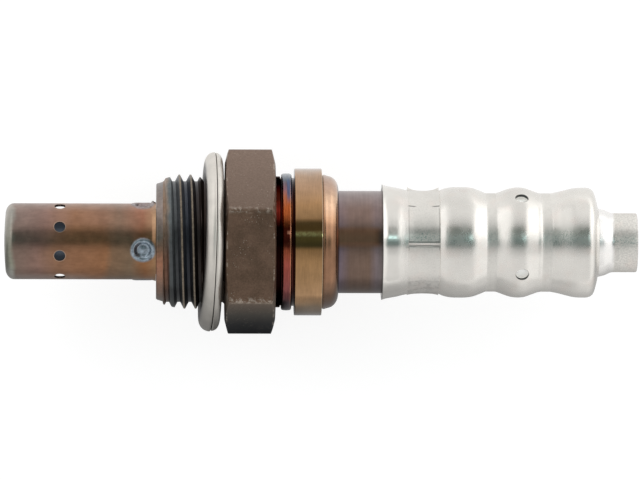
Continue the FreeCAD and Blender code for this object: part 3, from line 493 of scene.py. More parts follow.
class ShellSettings(bpy.types.PropertyGroup):
    thread_radius: length("Thread radius", 9.0, "Crest radius of the thread")
    root_radius: length("Root radius", 8.1, "Root radius of the thread")
    pitch: length("Pitch", 1.5, "Distance between crests")
    crest_station: length("Crest station", -6.12, "Station of one crest at the upper side")
    across_flats: length("Across flats", 22.0, "Hexagon size")
    corner_round: length("Corner round", 1.0, "Rounding of the hexagon's corners")
    hexagon_turn: angle("Hexagon turn", 20.0, "Turn of the first corner")
    hexagon_tint: tint("Hexagon tint", (113, 91, 76), "Matt brown grey of the hexagon")
    collar_tint: tint("Collar tint", (173, 134, 95), "Polished bronze of the collar")
    lip_tint: tint("Lip tint", (206, 172, 144), "Copper rose of the rolled lip")
    nose_tint: tint("Nose tint", (136, 124, 118), "Grey tan of the nose")
    thread_tint: tint("Thread tint", (124, 113, 98), "Worn crests of the thread")


class GasketSettings(bpy.types.PropertyGroup):
    outer_radius: length("Outer radius", 12.05, "Rim of the folded ring")
    inner_radius: length("Inner radius", 8.8, "Fold of the ring")
    thickness: length("Thickness", 2.35, "Distance over both legs")
    swelling: length("Swelling", 0.4, "How much thicker the lower side is")
    tint: tint("Tint", (214, 209, 201), "Pale sheet")


class SleeveSettings(bpy.types.PropertyGroup):
    wall: length("Wall", 0.4, "Sheet thickness of the sleeve")
    ridge: length("Ridge", 0.36, "Height of the ridges between the jaw marks")
    vent_radius: length("Vent radius", 0.875, "Radius of one vent")
    vent_station: length("Vent station", 39.7, "Station of the vents")
    vent_turn: angle("Vent turn", 54.0, "Turn of the first vent")
    vent_count: number("Vents", 4, "Vents in the ring")
    tint: tint("Tint", (226, 223, 217), "Bright sheet")
    casing_tint: tint("Casing tint", (116, 97, 87), "Purple brown of the casing")


class StageSettings(bpy.types.PropertyGroup):
    distance: length("Distance", 1000.0, "From the camera to the sensor's axis")
    lens: bpy.props.FloatProperty(
        name="Lens", description="Focal length in millimetres", default=419.0, min=10
    )
    ceiling: share("Ceiling", 0.86, "Brightness of the white surroundings")
    floor_tint: tint("Floor tint", (250, 250, 249), "Pale floor")


# Finishes
def protector_finish(given):
    look = Finish("tinted_steel_tube")
    x, y, turn = look.x, look.y, look.turn
    along = x + (look.noise(4) - 0.5) * 2
    lower = look.ramp(
        along,
        [
            (-30, given.tip_tint), (-28.5, given.tip_tint), (-27.9, (126, 108, 98)),
            (-25, given.cool), (-22.6, (140, 106, 84)), (-20, given.warm), (-16.2, (148, 106, 76)),
            (-15.2, (128, 102, 80)), (-12.6, (124, 104, 84)), (-10.8, (142, 100, 68)),
            (-9, (150, 118, 88)),
        ],
    )
    upper = look.ramp(
        along,
        [
            (-30, (170, 166, 158)), (-28.4, (160, 156, 148)), (-27.8, (136, 118, 110)),
            (-24, (142, 114, 104)), (-20, (152, 113, 88)), (-16, (148, 113, 93)),
            (-14, (137, 111, 94)), (-11, (160, 112, 90)), (-9, (168, 138, 108)),
        ],
    )
    # Painted light: the upper side is lighter than the lower side, and paler still along the top.
    look.base = look.mix(y.rise(-1.5, 3.8), lower, upper)
    look.paint(y.rise(3.8, 4.9, 0, 0.25), (188, 170, 160))
    # Painted reflection: a brown tint in the band where the dark strip overhead is reflected.
    strip = turn.window(-4, 24, 6) * x.window(-22, -15.5, 1.5)
    look.paint(strip * 0.3, (122, 88, 54))
    rim = x.rise(-27.9, -28.6) * y.rise(-3, -4.6) * 0.5
    look.paint(rim, (206, 205, 200))
    under = x.rise(-17, -21) * y.rise(-4.1, -4.9) * 0.3
    look.paint(under, (190, 178, 172))
    look.blotch(1.6, 0.1)
    look.blotch(0.35, 0.05, where=look.stretched(0.25, 1, 1))
    turned = given.stake_turn
    across = look.add("ShaderNodeMapping", {"Vector": look.place, "Rotation": (turned, 0, 0)})
    _, ty, tz = look.split(across)
    aside = abs(ty).min(abs(tz))
    off = x - given.stake_station / MM
    far = look.far(off, aside)
    ring = far.rise(1.45, 1.85, 1, 0) * turn.rise(40, 60, 1, 0.5)
    look.paint(ring, look.blotched(given.weld_tint, 0.5, 0.3))
    far = look.from_holes(given.hole_count, 8, given.hole_station, given.radius / MM)
    rim = given.hole_radius / MM
    burr = far.window(rim - 0.05, rim + 0.09, 0.05)
    look.paint(burr * 0.5, (190, 168, 152))
    look.bump(look.noise(0.3, 3, 0.6, look.stretched(0.3, 1, 1)), 0.006)
    rough = look.noise(1.2).rise(0.3, 0.7, 0.29, 0.37)
    return look.set(Metallic=1, Roughness=rough)


def nose_finish(given):
    look = Finish("nose_steel")
    y = look.y
    look.base = look.ramp(
        y + (look.noise(1.5) - 0.5) * 2,
        [
            (-8, (116, 106, 98)), (-3, (154, 110, 88)), (-1.2, (124, 98, 80)), (0.5, (100, 94, 86)),
            (2.7, (114, 103, 97)), (4.4, given.nose_tint), (9, (134, 130, 128)),
        ],
    )
    look.bump(look.noise(0.2, 3, 0.6), 0.01)
    look.blotch(0.5, 0.12)
    return look.set(Metallic=1, Roughness=0.38)


def thread_finish(given):
    look = Finish("thread_steel")
    x, y = look.x, look.y
    crest = look.radius.rise(8.85, 8.98)
    groove = look.ramp(
        x + look.noise(2) * 0.8,
        [
            (-8.3, (100, 78, 60)), (-7.6, (128, 114, 100)), (-7, (82, 92, 96)), (-5.8, (70, 76, 82)),
            (-4.6, (44, 52, 64)), (-3.5, (42, 40, 42)), (-2.6, (52, 42, 36)),
        ],
    )
    rust = x.window(-8.2, -7.5, 0.2) * y.rise(1, -3)
    groove = look.mix(rust * 0.6, groove, (124, 76, 46))
    # Painted shade and light: the grooves are darker towards the bottom and lighter towards the top.
    lower = y.rise(-6.6, -5.4, 0.3, 0.68)
    groove = look.dim(groove, lower * y.rise(1, 3.2, 1, 1.62))
    worn = look.dim(given.thread_tint, look.noise(0.3, 3, 0.7).rise(0.3, 0.7, 0.72, 1.08))
    groove = look.mix(1, groove, [1.12, 1, 0.93], "MULTIPLY")
    look.base = look.mix(crest, groove, worn)
    look.bump(look.noise(0.25, 2, 0.5, look.stretched(1, 0.2, 0.2)), 0.012)
    look.blotch(0.6, 0.15)
    return look.set(Metallic=0.5, Roughness=0.42)


def hexagon_finish(given):
    look = Finish("hexagon_steel")
    x, y, turn = look.x, look.y, look.turn
    grain = look.noise(0.22, 4, 0.7)
    cloud = look.noise(2.6, 4, 0.6)
    # Painted light: the upper facet is lighter than the middle one and grows lighter towards the top.
    upper = turn.rise(19, 21)
    mid = look.mix(cloud.rise(0.3, 0.7), (94, 76, 62), given.hexagon_tint)
    high = look.ramp(y, [(4, (116, 98, 86)), (11.4, (134, 115, 103))])
    look.base = look.mix(upper, mid, high)
    # Painted shade: the lower facet is darkened towards the bottom.
    low = turn.rise(-41, -39, 1, 0) * turn.rise(-104, -98)
    shaded_facet = look.ramp(
        y, [(-12, (40, 42, 44)), (-11, (58, 58, 58)), (-9.8, (90, 86, 80)), (-8.2, (128, 114, 101))]
    )
    look.paint(low, shaded_facet)
    specks = look.cells(0.34).rise(0.1, 0.22, 1, 0)
    patch = look.noise(1.9, 2, 0.5).rise(0.5, 0.62)
    rubbed = turn.window(18.4, 21.4, 1.4).max(turn.window(-41, -37.4, 1.4))
    worn = rubbed * look.noise(0.55, 4, 0.7).rise(0.47, 0.6)
    ends = x.window(0.16, 0.34, 0.06).max(x.window(6.4, 6.62, 0.06))
    chipped = ends * look.noise(0.9, 3, 0.6).rise(0.52, 0.64)
    bright = (specks * patch * 0.62).max(worn * 0.6)
    bright = bright.max(chipped * 0.5)
    look.paint(bright, (186, 175, 162))
    look.scale(grain.rise(0.25, 0.75, 0.8, 1.14))
    look.bump(grain + cloud * 0.6, 0.022)
    # Lowers the Specular Tint on the painted-shade lower facet.
    edge_on = look.mix(low, [1, 1, 1], [0.7, 0.71, 0.73])
    return look.set(Metallic=0.85, Roughness=0.52, Specular_Tint=edge_on)


def bead_finish(given):
    look = Finish("heat_tinted_bead")
    x, turn = look.x, look.turn
    # Heat tint colours round the turn, with a painted reflection: the dark band near turns -3 to 12 stands
    # for the dark strip overhead.
    look.base = look.ramp(
        turn + (look.noise(2.2) - 0.5) * 20,
        [
            (-180, (90, 90, 98)), (-84, (60, 60, 66)), (-62, (84, 58, 62)), (-40, (160, 92, 88)),
            (-20, (188, 98, 84)), (-9, (192, 102, 72)), (-3, (96, 36, 28)), (12, (110, 40, 28)),
            (20, (170, 88, 48)), (30, (214, 112, 60)), (42, (206, 124, 90)),
            (52, (164, 118, 124)), (66, (118, 128, 142)), (84, (176, 184, 192)),
            (180, (90, 90, 98)),
        ],
    )
    blue = x.window(8.25, 8.95, 0.12) * turn.window(38, 66, 6)
    look.paint(blue * 0.8, (78, 110, 150))
    trench = x.rise(8.92, 9.02)
    notch = x.rise(7.62, 7.5)
    # Painted shade: the land in the recess between the hexagon and the bead is painted dark; below, it is
    # dimmed further and its Specular Tint lowered.
    land = look.ramp(
        turn + (look.noise(1.2) - 0.5) * 16,
        [
            (-180, (20, 16, 15)), (-60, (18, 11, 10)), (-20, (44, 18, 16)), (12, (40, 15, 12)),
            (28, (176, 56, 42)), (40, (104, 38, 26)), (64, (48, 32, 25)), (180, (20, 16, 15)),
        ],
    )
    look.paint(notch, land)
    glint = x.window(8.67, 8.75, 0.04) * turn.window(-60, 60, 20) * 0.55
    look.paint(glint, (236, 176, 132))
    # Painted shadow in the groove in front of the collar.
    look.paint(trench, (48, 22, 17))
    # Painted shadow in the step behind the hexagon.
    look.paint(x.window(7.36, 7.52, 0.04), (20, 11, 11))
    streaks = look.noise(0.14, 2, 0.5, look.stretched(1, 0.08, 0.08))
    look.scale(streaks.rise(0.3, 0.7, 0.78, 1.16))
    look.darken(notch * 0.42)
    # Painted shade: the colour is dimmed by turn, everywhere except near turn 3.
    look.scale(abs(turn - 3).rise(4, 14, 1, 0.62))
    # Painted highlight: a small pink spot on the bead.
    highlight_spot = x.window(8.25, 8.66, 0.08) * turn.window(6.4, 9.2, 0.8)
    look.paint(highlight_spot, (236, 150, 122))
    look.bump(look.noise(0.5, 2, 0.5), 0.012)
    edge_on = look.mix(notch, [1, 1, 1], [0.22, 0.16, 0.15])
    return look.set(Metallic=1, Roughness=0.2, Specular_Tint=edge_on)


def collar_finish(given):
    look = Finish("polished_collar")
    x, y, turn = look.x, look.y, look.turn
    # Colour by height: darker towards the bottom and in a band just above the axis, lighter towards the
    # top; painted shade and painted reflection of the dark strip overhead.
    look.base = look.ramp(
        y + (look.noise(3) - 0.5) * 1.5,
        [
            (-10, (112, 104, 96)), (-8.9, (136, 118, 98)), (-7.4, (172, 137, 103)),
            (-5, (160, 126, 90)), (-1.4, (160, 124, 84)), (0.4, (152, 115, 66)), (2.3, (155, 115, 72)),
            (3.4, (164, 128, 90)), (5, given.collar_tint), (7.6, (176, 143, 115)),
            (8.9, (178, 149, 124)), (10, (178, 160, 146)),
        ],
    )
    brush = look.noise(0.12, 2, 0.5, look.stretched(1, 0.06, 0.06))
    look.scale(brush.rise(0.3, 0.7, 0.93, 1.05))
    uneven = look.noise(0.45, 3, 0.7).rise(0.35, 0.62, 0.18, 0.6)
    lit = turn.window(4.4, 7.8, 1.4) * uneven
    look.paint(lit, (228, 216, 150))
    # Painted highlight along the back edge of the collar.
    edge = x.rise(12.9, 12.97)
    look.paint(edge * 0.6, (236, 222, 200))
    look.blotch(2.4, 0.08)
    return look.set(Metallic=1, Roughness=0.1)


def lip_finish(given):
    look = Finish("rolled_lip")
    x, y = look.x, look.y
    # Painted light and shade: lighter towards the top, darker towards the bottom.
    look.base = look.ramp(
        y + (look.noise(2) - 0.5) * 1.2,
        [
            (-9, (98, 80, 70)), (-7.4, (110, 88, 72)), (-5, (142, 107, 84)), (0.2, (136, 102, 78)),
            (1.8, (156, 118, 92)), (3, (192, 150, 118)), (4.4, (214, 176, 146)), (6, given.lip_tint),
            (7, (192, 160, 138)), (8.6, (182, 156, 140)),
        ],
    )
    look.paint(x.rise(13.24, 13.12, 0, 0.8), (150, 132, 118))
    # Painted shade where the lip's back edge turns into the gap to the casing.
    look.paint(x.rise(14.96, 15.1, 0, 0.9), (62, 52, 46))
    look.blotch(1.5, 0.08)
    return look.set(Metallic=1, Roughness=0.24)


def gasket_finish(given):
    look = Finish("pale_folded_sheet")
    look.base = look.blotched(given.tint, 2, 0.06)
    # Painted shade: darker towards the bottom.
    fall = [(-12.5, [0.34] * 3), (-8, [0.62] * 3), (-3, [0.95] * 3), (3, [1] * 3)]
    look.scale(look.ramp(look.y, fall))
    # Painted shade on the inner part of the ring, towards the thread.
    deep = look.radius.rise(10, 11.2)
    look.paint(1 - deep, (52, 50, 48))
    look.bump(look.noise(0.6, 3, 0.5, look.stretched(1, 0.3, 0.3)), 0.012)
    return look.set(Metallic=0.8, Roughness=0.4)


def sleeve_finish(given):
    look = Finish("bright_sheet")
    x, y, turn = look.x, look.y, look.turn
    look.base = look.blotched(given.tint, 3, 0.03)
    look.paint(look.noise(2.2, 2).rise(0.5, 0.75, 0, 0.35), (226, 214, 206))
    drawn = look.noise(0.35, 3, 0.6, look.stretched(1, 0.35, 0.35))
    tail = x.window(52.2, 55.6, 0.06)
    knurl = look.noise(0.22, 3, 0.7)
    pressed = x.window(24.47, 28.7, 0.05) + x.window(35, 36.35, 0.08) + x.window(42.45, 43.7, 0.08)
    height = drawn * 0.5 + knurl * (tail + pressed * 0.5) * 1.6
    look.bump(height, 0.016)
    look.scale(tail * knurl.rise(0.3, 0.7, -0.18, 0.08) + 1)
    crimp = x.window(24.5, 28.66, 0.05)
    ends = abs(x - 26.6).rise(0.9, 1.4)
    tips = abs(x - 26.6).rise(1.1, 1.9)
    # Painted shade: dark lines along the ridges between the jaw marks and along the crimp's edges.
    arm = (turn + 1.9) * 0.12
    upper_side = arm.window(0.2, 0.34, 0.04) * (tips * 0.45 + 0.55)
    lower_side = arm.window(-0.43, -0.29, 0.05) * (ends * 0.55 + 0.18)
    seam = upper_side.max(lower_side)
    beside_ridge = abs(arm + 0.02).window(0.085, 0.3, 0.03)
    seam = seam.max(beside_ridge * 0.55)
    arm = abs((turn - 43.8) * 0.12)
    seam = seam.max(arm.window(-0.01, 0.085, 0.05) * ends * 1.05)
    sides = x.window(24.5, 24.6, 0.04) + x.window(28.56, 28.68, 0.04)
    sides = sides * (turn.window(0, 41, 2) + turn.window(-9, -4, 2))
    seam = seam.max(sides * 0.5)
    shadow = seam * crimp
    look.darken(shadow * 0.72)
    # Painted shade: the bottom of the crimp is darkened, unevenly.
    shade_noise = look.noise(0.9, 4, 0.7).rise(0.42, 0.62)
    lowest = crimp * y.rise(-5.8, -4.2, 0.2, 0) * (shade_noise + 0.5)
    look.darken(lowest)
    # A speckle that darkens the pressed bands and also breaks up the painted teal reflections below.
    dirt_and_reflection_speckle = look.noise(0.16, 3, 0.6).rise(0.46, 0.66)
    look.darken(pressed * dirt_and_reflection_speckle * 0.1)
    # Painted reflection: a dark teal tint in the pressed bands where the dark strip overhead is reflected.
    teal_reflection = pressed * turn.window(0.5, 13, 4)
    teal_reflection = teal_reflection * (x.window(25.3, 27.9, 0.9) * 0.6 + 0.4)
    look.paint(teal_reflection * (dirt_and_reflection_speckle * 0.75 + 0.02), (120, 152, 144))
    # Painted reflection: the same teal tint behind the last waist and on the tail.
    rubbed = x.window(43.7, 46.6, 0.6) + tail * 1.3
    rubbed = rubbed * turn.window(-4, 13, 6) * dirt_and_reflection_speckle
    look.paint(rubbed * 0.5, (128, 150, 144))
    # Painted shade in the band of the dark strip's reflection, on the crimp and on the tail.
    look.darken(crimp * turn.window(9, 16.5, 3.5) * 0.26)
    look.darken(tail * turn.window(12, 26, 5) * 0.18)
    # Painted shade on the upper side of the first two swells.
    tops = x.window(29.4, 32.6, 0.8) + x.window(37.6, 40.4, 0.8)
    look.darken(tops * turn.window(14, 78, 8) * 0.07)
    # Painted shade on the back slope of the second swell, near the axis.
    strip_shade_patch = x.window(40.4, 42.3, 0.3) * turn.window(-14, 11, 5)
    look.darken(strip_shade_patch * 0.17)
    # Painted highlight on the cone of the tail.
    pale = x.window(50.1, 52.1, 0.2) * turn.rise(-42, 10, 0.45, 0.7)
    look.paint(pale, (248, 247, 246))
    # Painted shade: a darker band low on the side of the front half of the sleeve.
    low_band = turn.window(-64, -42, 8) * x.rise(36, 38, 1, 0)
    look.darken(low_band * x.rise(24.4, 24.5, 0.2, 0.08))
    # Painted shade on the front slope of the third swell, on the upper side.
    shoulder = x.window(44.9, 46.8, 0.4) * turn.window(16, 46, 5)
    look.darken(shoulder * 0.12)
    shift = 8.5 - math.degrees(given.vent_turn) * given.vent_count / 360
    far = look.from_holes(given.vent_count, shift, given.vent_station, look.radius)
    size = given.vent_radius / MM
    # Painted shade on the walls of the vents.
    wall = far.rise(size + 0.05, size + 0.01) * look.radius.rise(7.4, 7.33)
    look.paint(wall, (70, 72, 72))
    matt = tail * 0.22 + pressed * 0.13 + x.rise(23, 23.8, -0.1, 0)
    rough = look.noise(1.4).rise(0.3, 0.7, 0.24, 0.3) + matt
    # Painted shade along the mouth's edge.
    look.scale(x.rise(21.1, 21.17, 0.3, 1))
    return look.set(Metallic=1, Roughness=rough)


def casing_finish(given):
    look = Finish("brown_drawn_steel")
    x, y, turn = look.x, look.y, look.turn
    look.base = look.ramp(
        x,
        [
            (15, (114, 104, 116)), (15.8, (116, 101, 104)), (16.7, given.casing_tint),
            (19.2, (118, 98, 86)), (20.2, (122, 110, 112)), (21.2, (116, 108, 106)),
        ],
    )
    # Painted light: lighter towards the top.
    look.paint(y.rise(-1, 4.5, 0, 0.5), (142, 120, 114))
    look.paint(y.rise(4, 6.8, 0, 0.7), (156, 146, 146))
    # Painted reflection: a brown tint in the band of the dark strip, fading towards the back.
    brown = turn.window(-4.5, 15.5, 4) * x.rise(20.2, 21, 1, 0.3)
    look.paint(brown, (148, 111, 89))
    # Painted shade in that band towards the back end.
    deep = turn.window(-3, 13, 3) * x.rise(19.5, 20.9)
    look.darken(deep * 0.38)
    lines = look.noise(0.3, 2, 0.5, look.stretched(1, 0.05, 0.05))
    look.scale(lines.rise(0.3, 0.7, 0.94, 1.05))
    # Painted shade: darker towards the bottom.
    look.scale(y.rise(-6.2, -4, 0.66, 1))
    look.blotch(1.2, 0.06)
    return look.set(Metallic=1, Roughness=0.3)


def plain_finish(name, colour, size, depth, grain_mm, **values):
    """Cloudy colour with a fine grain, for the pieces inside"""
    look = Finish(name)
    look.base = look.blotched(colour, size, depth)
    look.bump(look.noise(size / 6, 3, 0.6), grain_mm)
    return look.set(**values)


def grommet_finish():
    look = Finish("seal_rubber")
    look.base = look.blotched((44, 43, 42), 1.5, 0.25)
    look.bump(look.noise(0.3, 3, 0.6), 0.02)
    return look.set(Roughness=0.62)


# Forms
def protector_outline(given):
    radius, tip, end = given.radius / MM, given.tip / MM, given.end / MM
    bore = radius - given.wall / MM
    outer = [(tip, 1.0), (tip + 0.06, 2.4), (tip + 0.16, radius - 1.45)]
    outer += arc(tip + 0.16, radius - 1.45, tip + 1.3, radius, along_first=False, steps=10)
    outer += [(x, radius) for x in np.arange(tip + 1.6, -13.2, 0.8)]
    outer += [(x, radius) for x in np.arange(-13.0, end - 0.6, 0.11)]
    outer += [(end - 0.45, radius + 0.03), (end - 0.2, radius + 0.16), (end - 0.02, radius + 0.2)]
    inner = [(end - 0.02, bore + 0.2), (end - 0.2, bore + 0.14), (end - 0.6, bore)]
    inner += [(x, bore) for x in np.arange(end - 0.8, -13.0, -0.22)]
    inner += [(-13.2, bore), (tip + 1.6, bore)]
    inner += arc(tip + 1.4, bore, tip + 0.46, bore - 1.2, steps=6)
    inner += [(tip + 0.3, 1.0)]
    return outer + inner


def stake_warp(given):
    """Presses each stake in with a rounded rim, and adds a pimple behind the upper one"""
    station, first = given.stake_station / MM, given.stake_turn
    bore = (given.radius - given.wall) / MM
    pimple_station, pimple_turn = -9.75, math.radians(76)

    def warp(xs, rs, around):
        depth = np.zeros_like(rs)
        for k in range(4):
            turn = (around - first - k * math.pi / 2 + math.pi) % FULL_TURN - math.pi
            far = np.hypot(xs - station, turn * given.radius / MM)
            rim = 0.12 * np.exp(-(((far - 1.36) / 0.24) ** 2))
            pit = 0.42 / (1 + np.exp((far - 0.98) / 0.07))
            heap = 0.10 * np.exp(-((far / 0.42) ** 2))
            depth += rim - pit + heap
        turn = (around - pimple_turn + math.pi) % FULL_TURN - math.pi
        far = np.hypot((xs - pimple_station) / 1.3, turn * given.radius / MM)
        depth += 0.42 * np.exp(-((far / 0.26) ** 2))
        outside = rs > bore + 0.02
        kept = np.where(outside, depth, np.minimum(depth, 0.0))
        near = np.abs(xs - station) < 2.2
        return xs, rs + np.where(near, kept, 0.0)

    return warp


def hexagon_turns(given):
    """Column turns: close together over the six corners"""
    apothem = given.across_flats / MM / 2
    round_off = given.corner_round / MM
    vertex = apothem / math.cos(math.radians(30))
    tangent = round_off * math.tan(math.radians(30))
    edge = math.radians(30) - math.atan((vertex / 2 - tangent) / apothem)
    sixth = math.radians(60)
    turns = []
    for k in range(6):
        middle = given.hexagon_turn + k * sixth
        turns += list(np.linspace(middle - edge, middle + edge, 8, endpoint=False))
        turns += list(np.linspace(middle + edge, middle + sixth - edge, 26, endpoint=False))
    return turns


def hexagon_radius(given, around):
    apothem = given.across_flats / MM / 2
    round_off = given.corner_round / MM
    centre = (apothem - round_off) / math.cos(math.radians(30))
    sixth = math.radians(60)
    off = (around - given.hexagon_turn + sixth / 2) % sixth - sixth / 2
    flat = apothem / np.cos(sixth / 2 - np.abs(off))
    inside = np.maximum(round_off**2 - (centre * np.sin(off)) ** 2, 0)
    rounded = centre * np.cos(off) + np.sqrt(inside)
    tangent = sixth / 2 - math.atan((centre * math.sin(sixth / 2)) / apothem)
    return np.where(np.abs(off) < tangent, rounded, flat)


HEX_LENGTH = 6.77
HEX_FACE_RADIUS = 10.55


def shell_outline():
    """Outline of the shell's body, split where the hexagon goes in"""
    nose = [(-12.4, 3.55), (-12.4, 4.1), (-12.1, 4.4), (-9.2, 4.4), (-9.2, 7.55)]
    nose += arc(-9.2, 7.55, -8.92, 7.84, along_first=False, steps=5) + [(-8.3, 8.03)]
    nose += [(-8.3, 7.9), (-2.85, 7.9), (-2.8, 8.1), (-0.45, 8.1)] + arc(-0.45, 8.1, 0, 8.55, steps=4)
    back = [(HEX_LENGTH, 8.9), (HEX_LENGTH + 0.02, 8.8), (7.35, 8.8)]
    back += [(7.41, 8.72), (7.41, 8.55), (7.57, 8.55)]
    half = [(0.69, 8.82), (0.67, 9.0), (0.61, 9.10), (0.5, 9.155), (0.36, 9.185), (0.18, 9.197)]
    bead = [(8.25 - dx, r) for dx, r in half] + [(8.25, 9.2)] + [(8.25 + dx, r) for dx, r in half[::-1]]
    groove = [(8.93, 8.6), (9.32, 8.6)]
    collar = soften([(9.32, 8.6), (9.32, 9.87), (12.98, 9.87), (12.98, 9.03), (12.9, 8.7)], 0.1)[6:-6]
    lip = flowing(
        [
            (13.0, 8.85), (13.12, 8.97), (13.28, 9.02), (13.45, 8.985), (13.62, 8.93), (13.8, 8.88),
            (13.92, 8.848), (14.05, 8.812), (14.25, 8.74), (14.5, 8.58), (14.75, 8.35), (14.97, 8.03),
            (15.12, 7.68), (15.2, 7.35), (15.22, 7.18),
        ],
        0.09,
    ) + [(15.2, 6.93)]
    bore = [(15.1, 6.89), (14.2, 6.89), (13.75, 7.6), (4.2, 7.6), (3.2, 6.2), (-4.4, 6.2), (-6.0, 3.55)]
    return nose, back + bead + groove + collar + lip + bore


def build_shell_body(given, materials):
    front, rear = shell_outline()
    turns = hexagon_turns(given)
    slope = 0.5 / (hexagon_radius(given, np.array([given.hexagon_turn]))[0] - HEX_FACE_RADIUS)
    marks = [("face", 0.0, 0.0)]
    marks += [("chamfer", 0.0, -0.12), ("chamfer", 0.012, -0.03), ("side", 0.08, 0.0), ("side", 0.25, 0.0)]
    outline = list(front)
    rows = [None] * len(front)
    for side in (1, -1):
        ordered = marks if side == 1 else marks[::-1]
        for kind, dx, dr in ordered:
            outline.append((0.0 if side == 1 else HEX_LENGTH, HEX_FACE_RADIUS))
            rows.append((side, kind, dx, dr))
    outline += rear
    rows += [None] * len(rear)

    def warp(xs, rs, around):
        corner = hexagon_radius(given, around[0])
        for i, row in enumerate(rows):
            if row is None or row[1] == "face":
                continue
            side, kind, dx, dr = row
            start = 0.0 if side == 1 else HEX_LENGTH
            rs[i] = corner + dr
            cone = (corner + (dr if kind == "chamfer" else 0.0) - HEX_FACE_RADIUS) * slope
            xs[i] = start + side * (cone + dx)
        return xs, rs

    piece = wheel("shell_body", outline, turns, warp)
    for material in materials:
        piece.data.materials.append(material)
    bounds = [(-8.3, 0), (-0.5, 1), (6.75, 2), (9.33, 3), (12.985, 4), (99.0, 5)]
    for face in piece.data.polygons:
        x = face.center.x / MM
        inside = math.hypot(face.center.y, face.center.z) / MM < 7.0 and x > -9
        face.material_index = 1 if inside else next(i for edge, i in bounds if x < edge)
    return piece


def gasket_outline(given):
    """Two legs of folded sheet whose rounded ends meet along a thin seam"""
    rim, fold, thick = given.outer_radius / MM, given.inner_radius / MM, given.thickness / MM
    front, back = -thick / 2, thick / 2
    seam = front + 0.58 * thick
    points = [(front, fold + 0.8), (front, 9.8), (front, rim - 1.5)]
    points += arc(front, rim - 1.5, seam - 0.10, rim - 0.01, along_first=False, steps=12)
    points += [(seam - 0.05, rim - 0.04), (seam - 0.03, rim - 0.14), (seam - 0.02, rim - 1.0)]
    points += [(seam - 0.02, 9.75), (seam + 0.05, 9.75), (seam + 0.05, rim - 1.0)]
    points += [(seam + 0.06, rim - 0.22), (seam + 0.08, rim - 0.12), (seam + 0.13, rim - 0.09)]
    points += arc(seam + 0.13, rim - 0.09, back, rim - 1.3, steps=10)
    points += [(back, 10.4), (back, 9.8)]
    points += arc(back, fold + 0.8, 0.0, fold, along_first=False, steps=6)
    points += arc(0.0, fold, front, fold + 0.8, steps=6)[:-1]
    return points


SLEEVE_RUNS = [
    [
        (21.06, 7.765), (21.35, 7.665), (21.6, 7.59), (21.85, 7.54), (22.1, 7.494), (22.5, 7.422),
        (22.9, 7.35), (23.2, 7.29), (23.5, 7.21), (23.8, 7.13), (24.1, 7.06), (24.45, 6.99),
    ],
    [(24.47, 7.00), (25.2, 6.915), (26.0, 6.88), (26.6, 6.87), (27.2, 6.88), (28.0, 6.915), (28.70, 7.00)],
    [
        (28.72, 6.92), (29.3, 7.18), (29.9, 7.33), (30.5, 7.41), (31.4, 7.43), (32.3, 7.415),
        (32.9, 7.36), (33.5, 7.22), (34.1, 6.99), (34.6, 6.79), (35.0, 6.62),
    ],
    [(35.02, 6.61), (36.3, 6.61)],
    [
        (36.32, 6.615), (36.8, 6.76), (37.4, 6.99), (38.0, 7.20), (38.6, 7.34), (39.3, 7.40),
        (39.9, 7.37), (40.4, 7.27), (40.9, 7.09), (41.5, 6.87), (42.0, 6.70), (42.43, 6.62),
    ],
    [(42.45, 6.61), (43.7, 6.61)],
    [(43.72, 6.615), (44.4, 6.74), (45.1, 6.90), (45.9, 7.11), (46.6, 7.28), (47.4, 7.38), (48.4, 7.39)],
    [(48.45, 7.39), (48.8, 7.34), (49.15, 7.20), (49.4, 6.98), (49.55, 6.72)],
]
SLEEVE_END = [
    (49.66, 6.4), (49.80, 5.9), (49.95, 5.3), (50.06, 4.72), (50.12, 4.60), (50.6, 4.50), (51.0, 4.39),
    (51.4, 4.21), (51.7, 4.06), (52.0, 3.985), (52.3, 3.965), (53.0, 3.965), (54.0, 3.965),
    (55.12, 3.965), (55.27, 3.93), (55.34, 3.84), (55.34, 3.57),
]


def sleeve_outline(given):
    wall = given.wall / MM
    outer = []
    for run in SLEEVE_RUNS:
        outer += flowing(run, 0.17 if run is SLEEVE_RUNS[1] else 0.3)
    outer += SLEEVE_END
    inner = [(51.9, 3.57), (50.0, 4.3), (49.55, 4.6), (49.2, 6.5), (48.4, 6.98)]
    for run in SLEEVE_RUNS[-2::-1]:
        line = flowing(run, 0.7)[::-1]
        inner += [(x, r - wall) for x, r in line]
    return outer + inner


RIDGES = [
    (-1.9, 0.48, 0.30, 0.48),
    (43.8, 0.05, 0.0, 0.9),
    (90.0, 1.15, 0.12, 1.6),
    (135.0, 0.8, 0.3, 1.3),
    (178.0, 0.9, 0.6, 1.2),
    (-138.0, 0.6, 0.1, 1.2),
    (-91.0, 0.25, 0.05, 1.4),
    (-48.0, 0.14, 0.02, 1.6),
]
CRIMP = (24.45, 28.72)


def sleeve_turns():
    """Column turns: close together where a ridge stands up"""
    turns = []
    middles = sorted(math.radians(ridge[0]) % FULL_TURN for ridge in RIDGES)
    reach = math.radians(5.5)
    for here, after in zip(middles, middles[1:] + [middles[0] + FULL_TURN]):
        turns += list(np.linspace(here - reach, here + reach, 34, endpoint=False))
        turns += list(np.linspace(here + reach, after - reach, 17, endpoint=False))
    return turns


